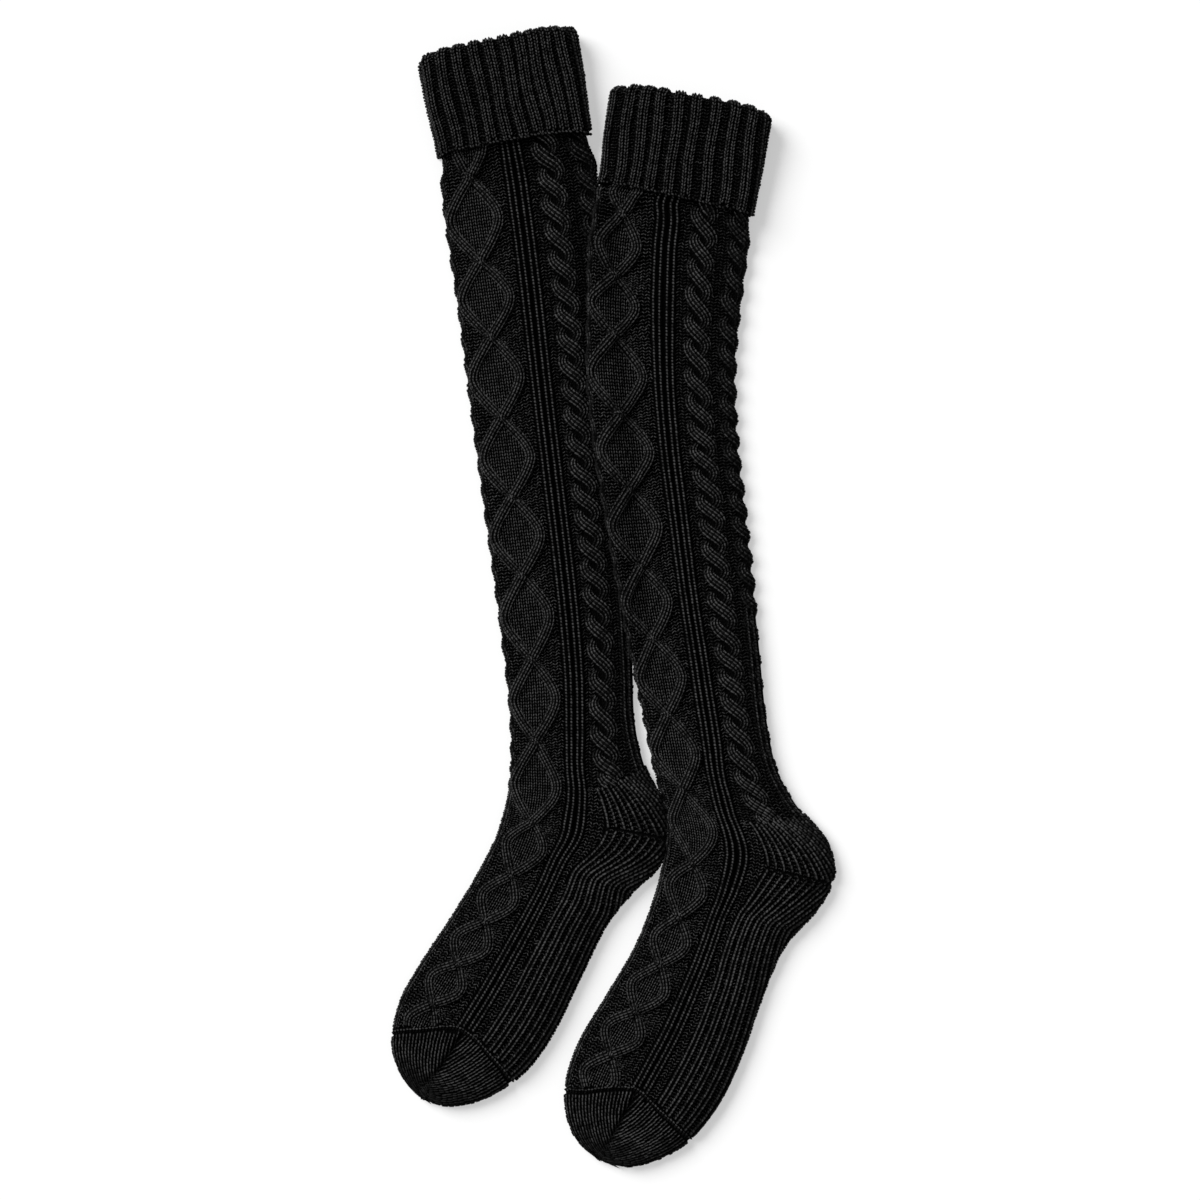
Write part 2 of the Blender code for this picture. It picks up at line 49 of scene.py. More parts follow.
print("nodes:", ", ".join(sorted(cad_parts)))

# %% [markdown]
# ## Camera
# The photograph looks straight down. A long lens a little under two metres above the
# table gives its nearly flat view, and the frame is 792 mm wide on the table.

# %% Camera
def add_object(name, data):
    added = bpy.data.objects.new(name, data)
    bpy.context.scene.collection.objects.link(added)
    return added


VIEW_WIDTH = 792 * MM
VIEW_CENTRE = (-8.97 * MM, -1.47 * MM)
KNIT_HEIGHT = 8 * MM  # where the view has that width
LENS, SENSOR = 85.0, 36.0
camera_data = bpy.data.cameras.new("camera")
camera_data.lens, camera_data.sensor_width = LENS, SENSOR
camera = add_object("camera", camera_data)
camera.location = (*VIEW_CENTRE, KNIT_HEIGHT + VIEW_WIDTH * LENS / SENSOR)
bpy.context.scene.camera = camera
print("camera height", round(camera.location.z, 3))


# %% [markdown]
# ## Colours and nodes
# Colours are hex values, as a paint program shows them, and one function turns them
# into Blender's linear light. Two more set a node's inputs and add a node.

# %% Helpers for materials
def colour(hex_value):
    channels = []
    for start in (0, 2, 4):
        value = int(hex_value[start:start + 2], 16) / 255
        channels.append(value / 12.92 if value <= 0.04045 else ((value + 0.055) / 1.055) ** 2.4)
    return (*channels, 1.0)


def set_inputs(tree, node, inputs):
    """Sets inputs to a value, a socket or another node's first output."""
    for name, value in inputs.items():
        if isinstance(value, bpy.types.Node):
            value = value.outputs[0]
        if isinstance(value, bpy.types.NodeSocket):
            tree.links.new(value, node.inputs[name])
        else:
            node.inputs[name].default_value = value


def add_node(tree, kind, inputs, **settings):
    """Adds a node. settings are its own properties."""
    added = tree.nodes.new(kind)
    for name, value in settings.items():
        setattr(added, name, value)
    set_inputs(tree, added, inputs)
    return added


def new_material(name):
    material = bpy.data.materials.new(name)
    material.use_nodes = True
    return material, material.node_tree, material.node_tree.nodes["Principled BSDF"]


# %% [markdown]
# ## Table and light
# The table is a sheet of matt white acrylic with a little light under it, which keeps
# the shadows on it pale. A very large, distant softbox low at the upper left gives the
# knit its shadows to the lower right, and a white world fills them. A sun lamp with a
# wide angle is such a softbox: it lights every corner of the table alike, which a near
# lamp can't. Black wool sends back only one to four hundredths of the light.

# %% Table
ACRYLIC, LIGHT_BELOW = "c3c3c3", 0.45
bpy.ops.mesh.primitive_plane_add(size=6.0, location=(0, 0, 0))
table = bpy.context.object
table.name = "white_table"
acrylic, tree, shader = new_material("matt white acrylic lit from below")
set_inputs(tree, shader, {
    "Base Color": colour(ACRYLIC), "Roughness": 0.9, "Specular IOR Level": 0.1,
    "Emission Color": colour("ffffff"), "Emission Strength": LIGHT_BELOW})
table.data.materials.append(acrylic)
bpy.context.scene.view_settings.view_transform = "Standard"

# %% Lamps and world
KEY_STRENGTH, KEY_ANGLE = 4.27, 38.0  # watts on each square metre, degrees across
KEY_FROM = (-0.80, 0.62, 0.735)  # the way to the softbox, 36 degrees up
FILL_STRENGTH = 0.26

key = bpy.data.lights.new("softbox", "SUN")
key.energy, key.angle = KEY_STRENGTH, math.radians(KEY_ANGLE)
lamp = add_object("softbox", key)
lamp.rotation_euler = (math.atan2(math.hypot(*KEY_FROM[:2]), KEY_FROM[2]), 0,
                       math.atan2(KEY_FROM[1], KEY_FROM[0]) + math.pi / 2)
world = bpy.data.worlds.new("studio")
world.use_nodes = True
set_inputs(world.node_tree, world.node_tree.nodes["Background"],
           {"Color": colour("ffffff"), "Strength": FILL_STRENGTH})
bpy.context.scene.world = world
print("softbox", KEY_STRENGTH, "fill", FILL_STRENGTH)

# %% [markdown]
# ## The flat sock as a surface
# A sock that lies flat is a tube pressed between two planes. A table of sections says
# where the middle of each is, how wide, how turned and how thick at its two folds, and
# a smooth curve joins the rows. The CAD model has the same table, apart from the left
# heel and the right sock just under its cuff, where an edge differs by up to 3.4 mm.

# %% Sections, in mm and degrees
# Columns: x, y, flat width, tilt, thickness at front fold, at back fold, ride. A row
# that is shorter goes on like SECTION_END.
SECTION_END = (8.4, 8.4, 0)
SECTIONS = {
    "left": (
        (-77.2, 367.3, 100, 11.5, 8.8, 8.8), (-71.1, 329.4, 97.2, 10.5, 8.8, 8.8),
        (-65.3, 296.4, 94.5, 9, 8.8, 8.6), (-62.7, 280, 102.5, 9, 8.6, 7.6),
        (-60, 256.5, 103, 9, 8.2, 6.5), (-54, 202.5, 99, 7.5, 8.2, 6.5),
        (-47.5, 135.5, 95, 7, 8.2, 6.5), (-40.5, 69, 91, 6.5, 8.2, 6.5),
        (-33.5, 2.5, 87, 6, 8.2, 6.5), (-28.5, -51, 83.5, 5.5, 8.2, 7.4),
        (-26.5, -85, 82.2, 2.5, 8.2, 8.2), (-23.1, -112, 88.9, -1.5),
        (-18.5, -130.5, 100.7, -4.5, 8.6, 8.6), (-17.9, -147, 107.6, -9.5, 8.8, 8.8),
        (-21, -161.8, 108.8, -16, 8.8, 8.8), (-32.5, -178, 97.5, -20, 8.6, 8.6),
        (-47.5, -201, 91.7, -21), (-65, -232.5, 94, -24), (-83, -264.5, 98.5, -28),
        (-99.5, -290.5, 94.8, -29), (-113.7, -310.9, 75, -30), (-122, -321.7, 51.5, -33),
        (-125.6, -328.2, 27, -34), (-127.2, -331.3, 2, -34)),
    "right": (
        (52.2, 329.9, 101.4, -10, 8.8, 8.8), (45.6, 292.5, 98.3, -11.5, 8.8, 8.8),
        (40.6, 262.7, 96.2, -12.5, 8.8, 8.8, 0.5), (39, 257.6, 100.6, -12, 8.5, 8.7, 0.7),
        (39, 248, 102.8, -11, 8, 8.6, 1), (36, 228, 104, -8, 7.2, 8.2, 1),
        (32.5, 181, 99.2, -5.5, 7, 8.2, 1), (31.5, 142, 97.2, -2.5, 7, 8.2, 1),
        (35, 97.5, 94.5, 1, 7, 8.2, 1), (41, 54.5, 92, 3.5, 7, 8.2, 1),
        (48, 6, 88.5, 6.5, 7, 8.2, 1), (55.4, -43, 84.2, 6.5, 7.6, 8.2, 0.6),
        (61.1, -81, 80.6, 3, 8.2, 8.2), (67.4, -112, 81.8, -1.5),
        (76.7, -134.5, 89.8, -4.5, 8.6, 8.6), (88, -154, 107.3, -8.5, 8.8, 8.8),
        (90.8, -172, 113.4, -13, 8.8, 8.8), (83.4, -191.6, 105.8, -18, 8.6, 8.6),
        (70.8, -214.1, 92.4, -19.5), (57.1, -246, 90, -20), (39.9, -284.6, 98, -25),
        (23.5, -315, 101, -25.5), (8.5, -341.5, 89, -26), (-1.3, -359.6, 62.3, -24.5),
        (-6, -369.2, 33.8, -25), (-7.7, -372.8, 2, -25)),
}
SHIFT = (-0.06, 0.84)  # the tables' origin against the frame's
CROWN = {"left": 6.0, "right": 7.5}  # the cuff's fold bows up this far
CUFF = {"left": 62.0, "right": 60.5}  # the hem in its middle, from the fold's corners
HEM_DROP = {"left": 4.0, "right": 1.5}  # the hem's corners hang this much lower
BOW_FADES = 20.0  # below the hem the rows lie straight again
PANEL_PAIR = 8.8  # thickness of the two panels together
CUFF_RAISE = 4.3  # the leg stands this high inside its cuff
FALL_BELOW_CUFF = 26.0
FOLD_RADIUS, UNDER_RADIUS = 5.0, 3.5
# The panels thin towards the folds over EDGE_EASE and BACK_EASE.
EDGE_EASE, BACK_EASE, PRESSED_FLAT = 22.0, 16.0, 10.0
RIDE_HEIGHT, RIDE_START, RIDE_END = 9.2, -14.0, 9.0  # the right sock over the left
TOE_ROUND = 5.0
HEEL_TOP = {"left": 515, "right": 400}  # the socks touch from the cuffs to here


def smooth(value):
    """0 to 1, with level ends."""
    value = np.clip(value, 0.0, 1.0)
    return value * value * (3 - 2 * value)


def curve_at(knots, values, at):
    """Values at a place along a smooth curve through the rows of a table."""
    at = np.asarray(at, float)
    count = len(knots)
    index = np.clip(np.searchsorted(knots, at, side="right") - 1, 0, count - 2)
    low, high = np.maximum(np.arange(count) - 1, 0), np.minimum(np.arange(count) + 1, count - 1)
    slopes = (values[high] - values[low]) / (knots[high] - knots[low])[:, None]
    span = (knots[index + 1] - knots[index])[..., None]
    share = np.clip((at - knots[index])[..., None] / span, 0, 1)
    ease = smooth(share)
    return (values[index] * (1 - ease) + values[index + 1] * ease
            + slopes[index] * span * share * (1 - share) ** 2
            - slopes[index + 1] * span * share ** 2 * (1 - share))


ROWS = {name: np.array([row + SECTION_END[len(row) - 4:] for row in rows], float)
        for name, rows in SECTIONS.items()}
ALONG = {name: np.concatenate([[0], np.cumsum(np.hypot(*np.diff(rows[:, :2], axis=0).T))])
         - CROWN[name] for name, rows in ROWS.items()}
TIP = {name: along[-1] for name, along in ALONG.items()}
print("lengths along the middle", {name: round(tip, 1) for name, tip in TIP.items()})


# %% [markdown]
# A point of the cloth is named by two lengths: how far along the sock it is, and how
# far round, over the cloth from the front fold. So a knitter counts rows and stitches,
# and loops keep their size round a fold. The right sock's front edge also climbs onto
# the left sock.

# %% From the cloth to the room
def section_at(sock, at):
    return np.moveaxis(curve_at(ALONG[sock], ROWS[sock], at), -1, 0)


def plan_point(x, y, tilt, offset):
    tilt = np.radians(tilt)
    return x + SHIFT[0] + offset * np.cos(tilt), y + SHIFT[1] + offset * np.sin(tilt)


def edge_line(sock, side, last):
    """One fold of a sock as plan points sorted by y, from the cuff to the place last."""
    x, y, width, tilt = section_at(sock, np.linspace(0, last, 121))[:4]
    edge_x, edge_y = plan_point(x, y, tilt, side * width / 2)
    order = np.argsort(edge_y)
    return edge_y[order], edge_x[order]


LEFT_BACK_EDGE = edge_line("left", 1, HEEL_TOP["left"])
RIGHT_FRONT_EDGE = edge_line("right", -1, HEEL_TOP["right"])


def over_top(width, grow=0.0):
    """Length of cloth from fold to fold, over the top."""
    return width + (math.pi - 2) * np.minimum(FOLD_RADIUS + grow, width / 2)


def top_at(sock, at):
    return over_top(section_at(sock, at)[2])


def bowed(sock, at, offset, width):
    """Place along, at an offset: the cuff's fold and hem bow up between their corners."""
    from_fold = (at + CROWN[sock]) / (CUFF[sock] + CROWN[sock])
    drop = CROWN[sock] * (1 - from_fold) + HEM_DROP[sock] * from_fold
    below = HEM_DROP[sock] * (1 - smooth((at - CUFF[sock]) / BOW_FADES))
    drop = np.where(from_fold > 1, below, drop)
    return at + drop * np.minimum(np.abs(offset) / (width / 2 + CUFF_RAISE), 1.0) ** 5


def tube_point(sock, at, round_, grow=0.0):
    """Point of the sock's skin, in mm. grow is how far outside the leg's skin it is."""
    leg_width = section_at(sock, at)[2]
    half = leg_width / 2 + grow
    fold = np.clip(FOLD_RADIUS + grow, 0.1, half)
    top = over_top(2 * half, grow)
    at_back = round_ > top / 2
    from_fold = np.where(at_back, top - round_, round_)
    beneath = from_fold < 0
    radius = np.where(beneath, np.clip(UNDER_RADIUS + grow, 0.1, half), fold)
    length = np.abs(from_fold)
    turn = np.minimum(length / radius, math.pi / 2)
    inward = radius * (1 - np.cos(turn)) + np.maximum(length - radius * math.pi / 2, 0)
    side = np.where(at_back, 1, -1)
    x, y, width, tilt, front, back, ride = section_at(
        sock, bowed(sock, at, side * (half - inward), leg_width))
    offset = side * (width / 2 + grow - inward)
    to_front, to_back = offset + width / 2 + grow, width / 2 + grow - offset
    thick = (PANEL_PAIR - (PANEL_PAIR - front) * (1 - smooth(to_front / EDGE_EASE))
             - (PANEL_PAIR - back) * (1 - smooth((to_back - PRESSED_FLAT) / BACK_EASE)))
    under = CUFF_RAISE * (1 - smooth((at - CUFF[sock] - 1) / FALL_BELOW_CUFF))
    px, py = plan_point(x, y, tilt, offset)
    if sock == "right":
        reach = np.interp(py, *LEFT_BACK_EDGE) - px
        inside = (py > LEFT_BACK_EDGE[0][0]) & (py < LEFT_BACK_EDGE[0][-1])
        reach = np.where(inside, (reach - RIDE_START) / (RIDE_END - RIDE_START), 0)
        under = np.maximum(under, RIDE_HEIGHT * smooth(ride) * smooth(reach))
    end = np.sqrt(1 - np.clip(1 - (TIP[sock] - at) / TOE_ROUND, 0, 1) ** 2)
    height = np.where(beneath, -1, 1) * np.sin(turn) * (thick / 2 + grow) * end
    return np.stack([px, py, under + thick / 2 + height], -1)


def unit(vectors):
    return vectors / np.maximum(np.linalg.norm(vectors, axis=-1, keepdims=True), 1e-9)


def raised(place, at, round_, lift):
    """Point over the skin by lift, along its normal, and the normal."""
    step = 0.4
    along = place(at + step, round_) - place(at - step, round_)
    across = place(at, round_ + step) - place(at, round_ - step)
    normal = unit(np.cross(along, across))
    return place(at, round_) + normal * np.asarray(lift)[..., None], normal


def round_of(sock, at, share, grow=0.0):
    """Length round the cloth, at a share of the leg's flat width as seen from above. grow
    is how far outside the leg's skin the cloth is."""
    width = section_at(sock, at)[2]
    whole = width + 2 * grow
    fold = np.minimum(FOLD_RADIUS + grow, whole / 2)

    def turned(distance):
        bent = fold * np.arccos(np.clip(1 - distance / fold, -1, 1))
        return np.where(distance < fold, bent, distance + fold * (math.pi / 2 - 1))
    front, back = share * width + grow, (1 - share) * width + grow
    return np.where(share < 0.5, turned(front), over_top(whole, grow) - turned(back))


def share_of(sock, at, round_):
    """Share of the cloth's length over the top, the other way about."""
    return np.clip(round_ / top_at(sock, at), 0, 1)


# %% [markdown]
# ## Where the pattern runs
# These tables say where cables and ribs lie, as shares of the flat width from the front
# fold. A tube's wales drift as it narrows at the ankle and turns at the heel, so each
# line is followed by name along the sock.

# %% Pattern tables
# Columns: mm along, then in thousandths of the width: diamond's front and back corner,
# first and last rib line, rope's front and back edge, second rope's front edge.
PATTERN = {
    "left": (
        (60, 30, 335, 415, 530, 615, 800, 856), (112, 25, 341, 430, 546, 622, 800, 862),
        (175, 30, 353, 438, 558, 637, 823, 875), (270, 36, 374, 454, 575, 641, 827, 885),
        (370, 36, 382, 467, 595, 651, 865, 905), (428, 34, 374, 459, 587, 645, 856, 900),
        (452, 32, 355, 444, 572, 633, 848, 900), (476, 28, 328, 417, 529, 600, 840, 900),
        (500, 30, 310, 386, 492, 575, 820, 900), (515, 35, 300, 372, 485, 560, 800, 900),
        (540, 70, 315, 385, 483, 560, 800, 900), (571, 98, 334, 430, 529, 560, 800, 900),
        (600, 98, 334, 434, 541, 560, 800, 900), (660, 98, 320, 434, 537, 560, 800, 900),
        (730, 100, 310, 434, 535, 560, 800, 900)),
    "right": (
        (60, 50, 290, 392, 525, 616, 805, 860), (96, 61, 300, 417, 541, 616, 812, 869),
        (134, 22, 312, 432, 562, 630, 830, 875), (178, 22, 372, 459, 579, 655, 846, 890),
        (223, 40, 380, 463, 580, 657, 856, 900), (270, 30, 362, 459, 575, 653, 856, 900),
        (327, 30, 348, 452, 566, 645, 850, 900), (376, 25, 360, 450, 575, 649, 856, 900),
        (424, 30, 366, 446, 577, 641, 848, 900), (451, 30, 330, 409, 525, 615, 830, 900),
        (464, 30, 300, 380, 500, 595, 815, 900), (480, 35, 280, 350, 456, 565, 800, 900),
        (501, 40, 285, 355, 471, 550, 800, 900), (526, 50, 300, 388, 496, 550, 800, 900),
        (540, 70, 305, 409, 508, 550, 800, 900), (571, 95, 337, 434, 537, 550, 800, 900),
        (608, 100, 341, 442, 548, 550, 800, 900), (660, 100, 333, 450, 551, 550, 800, 900),
        (730, 100, 330, 450, 550, 550, 800, 900)),
}
PATTERN = {name: np.array(rows) / ([1] + [1000] * 7) for name, rows in PATTERN.items()}
# Where the diamond cable crosses itself, in mm along.
CROSSINGS = {
    "left": (40, 81, 137, 188, 242, 295, 347, 403, 459, 523, 565, 601, 636, 668, 702),
    "right": (48, 77, 116, 154, 204, 252, 302, 350, 402, 457, 519, 557, 591, 628, 661, 695),
}
FIRST_DIAMOND = 0.62  # its width against the others': the cuff hides half of it
# Where each lobe of the rope cables begins to cross over.
ROPE_TURNS = {
    "left": (29, 46, 63, 81, 99, 116, 135, 153, 170, 187, 204, 221, 238, 255, 272, 289, 306,
             323, 340, 357, 375, 393, 413, 430, 448, 464, 477, 489),
    "right": (28, 45, 62, 79, 97, 115, 134, 151, 170, 188, 206, 222, 238, 256, 272, 288, 305,
              322, 339, 357, 373, 388, 404, 421, 439, 454, 469, 482),
}
TURN_LAG = 6.0  # a lobe is at its front edge this far below its top
# Heel: columns are mm along, first wale of heel and sole, spacing of the wales.
SOLE = {
    "left": ((470, .575, .0315), (515, .560, .0315), (546, .572, .0330), (571, .624, .0388),
             (730, .624, .0388)),
    "right": ((460, .545, .0300), (508, .535, .0300), (526, .560, .0310), (539, .585, .0330),
              (571, .615, .0380), (596, .641, .0392), (730, .650, .0392)),
}
SOLE = {name: np.array(rows) for name, rows in SOLE.items()}
# The ropes end and the heel begins on a slanting line: mm along at its front end,
# share of the width there, and how much it climbs over the full width.
HEEL_LINE = {"left": (490, .566, 36), "right": (479, .517, 25)}
HEEL_TURN = {"left": 515.0, "right": 508.0}
# Toe seam: share of the width and mm along.
TOE_SEAM = {
    "left": ((0, 701), (.10, 695), (.25, 687), (.334, 681.6), (.434, 676), (.483, 674.7),
             (.583, 676), (.666, 678.5), (.749, 681.6), (.831, 684), (.914, 688), (1, 690)),
    "right": ((0, 698), (.169, 691.6), (.309, 683.5), (.40, 679), (.49, 675.4), (.56, 677),
              (.641, 680.4), (.782, 684.8), (.914, 689), (1, 691)),
}
WEDGE = 0.49  # the toe's wales run in to a line at this share
ROW = 2.15  # one row of knitting


def pattern_lines(sock, at):
    """The pattern's lines at a place along, as lengths round the cloth."""
    shares = curve_at(PATTERN[sock][:, 0], PATTERN[sock][:, 1:], at)
    return [round_of(sock, at, share) for share in np.moveaxis(shares, -1, 0)]


def seam_at(sock, share):
    return np.interp(share, *np.array(TOE_SEAM[sock]).T)


print("rows of knitting in a sock:", round(TIP["left"] / ROW))


# %% [markdown]
# ## A loop of yarn
# Each stitch of plain knitting shows as two slanting legs. A leg is a four-sided
# spindle, thin at both ends where it dives under the next loop, with only sixteen
# triangles, because there are tens of thousands. A list keeps where each leg starts
# and ends on the cloth, and one function builds them all into a single mesh.

# %% The loop mesh
RING = np.array([(1, 0), (0, 1), (-1, 0), (0, -1)], float)
SPINDLE = ([(0, (k + 1) % 4 + 1, k + 1) for k in range(4)]
           + [(k + 5, (k + 1) % 4 + 5, 9) for k in range(4)],
           [(k + 1, (k + 1) % 4 + 1, (k + 1) % 4 + 5, k + 5) for k in range(4)])
# The yarn's own map of the spindle's faces: u along the leg, v round it.
SPINDLE_MAP = ([((0, k / 4 + .125), (.3, (k + 1) / 4), (.3, k / 4)) for k in range(4)]
               + [((.7, k / 4), (.7, (k + 1) / 4), (1, k / 4 + .125)) for k in range(4)],
               [((.3, k / 4), (.3, (k + 1) / 4), (.7, (k + 1) / 4), (.7, k / 4))
                for k in range(4)])
TUCK = 0.45  # the ends of a leg dive this far
END_SHARE = 0.52  # the rings lie this near to a leg's ends
KEEP_ABOVE, TABLE_GAP = 0.9, 0.1  # no loop reaches the table
CORE_WIDTH = 1.8  # legs wider than this are the filling of a cable
SIZE_SPREAD = 0.07
chance = np.random.default_rng(11)


def polygon_mesh(name, points, triangles, quads, corners_uv, material):
    """A mesh object from arrays of points in mm, triangles, quads and their map."""
    data = bpy.data.meshes.new(name)
    data.vertices.add(len(points))
    data.vertices.foreach_set("co", (points * MM).astype(np.float32).ravel())
    totals = np.concatenate([np.full(len(triangles), 3), np.full(len(quads), 4)])
    starts = np.concatenate([[0], np.cumsum(totals)[:-1]])
    corners = np.concatenate([np.ravel(triangles), np.ravel(quads)]).astype(np.int32)
    data.loops.add(len(corners))
    data.loops.foreach_set("vertex_index", corners)
    data.polygons.add(len(totals))
    data.polygons.foreach_set("loop_start", starts.astype(np.int32))
    data.polygons.foreach_set("loop_total", totals.astype(np.int32))
    data.update(calc_edges=True)
    layer = data.uv_layers.new(name="yarn")
    layer.data.foreach_set("uv", corners_uv.astype(np.float32).ravel())
    data.shade_smooth()
    data.materials.append(material)
    return add_object(name, data)


def build_loops(name, place, legs, material, fold_shade=None):
    """All legs as one mesh. A leg is start and end (along, round, lift), half width,
    half height and how far its ends dive. The last argument gives painted shade at a
    place, as a factor for the colour."""
    start, _ = raised(place, legs[:, 0], legs[:, 1], legs[:, 2] - legs[:, 8])
    end, _ = raised(place, legs[:, 3], legs[:, 4], legs[:, 5] - legs[:, 8])
    halfway = (legs[:, :3] + legs[:, 3:6]) / 2
    middle, up = raised(place, halfway[:, 0], halfway[:, 1], halfway[:, 2] + 0.1)
    keep = np.minimum(start[:, 2], end[:, 2]) > KEEP_ABOVE
    start, end, middle, up, legs = start[keep], end[keep], middle[keep], up[keep], legs[keep]
    size = legs[:, 6:]
    side = unit(np.cross(up, unit(end - start)))
    points = np.empty((len(start), 10, 3))
    points[:, 0], points[:, 9] = start, end
    for first, tip in ((1, start), (5, end)):
        base = tip * END_SHARE + middle * (1 - END_SHARE)
        for number, (across, over) in enumerate(RING):
            points[:, first + number] = (base + side * (across * size[:, :1])
                                         + up * (over * size[:, 1:2] + size[:, 2:] * 0.5))
    points[..., 2] = np.maximum(points[..., 2], TABLE_GAP)
    offsets = (np.arange(len(start)) * 10)[:, None, None]
    faces = [(np.array(part)[None] + offsets).reshape(-1, len(part[0])) for part in SPINDLE]
    corners = np.concatenate([np.tile(np.array(part).reshape(-1, 2), (len(start), 1))
                              for part in SPINDLE_MAP])
    piece = polygon_mesh(name, points.reshape(-1, 3), *faces, corners, material)
    # Painted shade: a factor for each leg's colour, lower the deeper the leg lies and 0.3 on a
    # cable's core, times a random spread of tone and the shade near the folds and toe.
    lift = (legs[:, 2] + legs[:, 5]) / 2
    loop_shade = np.where(legs[:, 6] > CORE_WIDTH, 0.3, 0.3 + 0.7 * smooth((lift + 2.7) / 2.4))
    loop_shade *= chance.uniform(0.78, 1.12, len(loop_shade))
    if fold_shade is not None:
        loop_shade *= fold_shade(legs[:, 0], legs[:, 1])
    layer = piece.data.attributes.new("painted_shade", "FLOAT", "POINT")
    layer.data.foreach_set("value", np.repeat(loop_shade, 10).astype(np.float32))
    print(name, len(start), "legs", len(start) * 16, "triangles")
    return piece


def legs_of(*columns):
    """Rows of legs from columns, which may be single numbers."""
    return np.stack(np.broadcast_arrays(*columns), 1)


def chain(path, rows, width, height, length, slant=0.0, tuck=TUCK, shake=0.09):
    """Legs laid one after another along a path that gives (along, round, lift)."""
    a0, r0, l0 = path(rows)
    a1, r1, l1 = path(rows + length * ROW)
    jitter = chance.normal(0, shake, (5, len(rows)))
    grow = 1 + chance.normal(0, SIZE_SPREAD, len(rows))
    return legs_of(a0 + jitter[0], r0 - slant + jitter[1], l0 + jitter[4], a1 + jitter[2],
                   r1 + slant + jitter[3], l1 + jitter[4], width * grow, height * grow, tuck)


# %% [markdown]
# ## Yarn and cloth
# The yarn is worsted wool dyed black. Its colour has light and shade painted in: a
# painted highlight, dark grey, on the crown of each loop, and painted shade, near black,
# on its sides and ends. The yarn's own map says where on a loop a point is: u runs along
# it and v round it, with the crown at a quarter. Two plies are twisted together, which
# shows as fine slanting ridges. The cloth behind lies in the loops' shade, and that shade
# is painted into its near-black colour.

# %% Materials
MATH, NOISE = "ShaderNodeMath", "ShaderNodeTexNoise"
# The colour of painted shade, on hidden yarn and on the cloth under the loops.
SHADE_BLACK = "020202"
PLY_TURNS = 1.6  # twists of the two plies on a leg


def yarn_material(name, side, crown):
    material, tree, shader = new_material(name)
    place = add_node(tree, "ShaderNodeTexCoord", {})
    yarn_map, spot = place.outputs["UV"], place.outputs["Object"]
    split = add_node(tree, "ShaderNodeSeparateXYZ", {0: yarn_map})
    # Painted light: 1 on the crown, a painted highlight, 0 at the sides, painted shade, and
    # fading to 0 at both ends of a leg, painted shade where it dives.
    turned = add_node(tree, MATH, {
        0: split.outputs["Y"], 1: 2 * math.pi, 2: -math.pi / 2}, operation="MULTIPLY_ADD")
    over = add_node(tree, MATH, {0: turned}, operation="COSINE")
    inward = add_node(tree, MATH, {0: split.outputs["X"], 1: 0.5}, operation="PINGPONG")
    end_fade = add_node(tree, "ShaderNodeMapRange", {0: inward, 1: 0.04, 2: 0.34},
                    interpolation_type="SMOOTHSTEP")
    # Painted shade: a factor stored on each loop darkens loops that lie deep between others.
    depth = add_node(tree, "ShaderNodeAttribute", {}, attribute_name="painted_shade")
    shown = add_node(tree, MATH, {0: end_fade, 1: depth.outputs["Fac"]}, operation="MULTIPLY")
    lit = add_node(tree, MATH, {0: over, 1: shown}, operation="MULTIPLY")
    # Fibre clumps about 2 mm and tufts about 0.3 mm across, by object place in metres.
    clumps = add_node(tree, NOISE, {"Vector": spot, "Scale": 260.0, "Detail": 3.0})
    fibres = add_node(tree, NOISE, {"Vector": spot, "Scale": 2600.0, "Detail": 2.0})
    both = add_node(tree, MATH, {0: clumps, 1: fibres}, operation="ADD")
    lit_and_fibres = add_node(tree, MATH, {0: lit, 1: both}, operation="MULTIPLY")
    # Painted light: near black where hidden, the side tone as painted shade and the crown tone as
    # a painted highlight.
    ramp = add_node(tree, "ShaderNodeValToRGB", {0: lit_and_fibres})
    ramp.color_ramp.elements[0].position = 0.25
    ramp.color_ramp.elements.new(0.62)
    for element, tone in zip(ramp.color_ramp.elements, (SHADE_BLACK, side, crown)):
        element.color = colour(tone)
    twist = add_node(tree, "ShaderNodeTexWave", {
        "Vector": yarn_map, "Scale": PLY_TURNS, "Distortion": 0.6}, bands_direction="DIAGONAL")
    height = add_node(tree, MATH, {0: twist.outputs["Fac"], 1: fibres}, operation="ADD")
    bump = add_node(tree, "ShaderNodeBump",
                    {"Strength": 0.45, "Distance": 0.3 * MM, "Height": height})
    set_inputs(tree, shader, {
        "Base Color": ramp, "Normal": bump, "Roughness": 0.62, "Specular IOR Level": 0.07,
        "Sheen Weight": 0.015, "Sheen Roughness": 0.5, "Sheen Tint": colour("c8c8c8")})
    return material


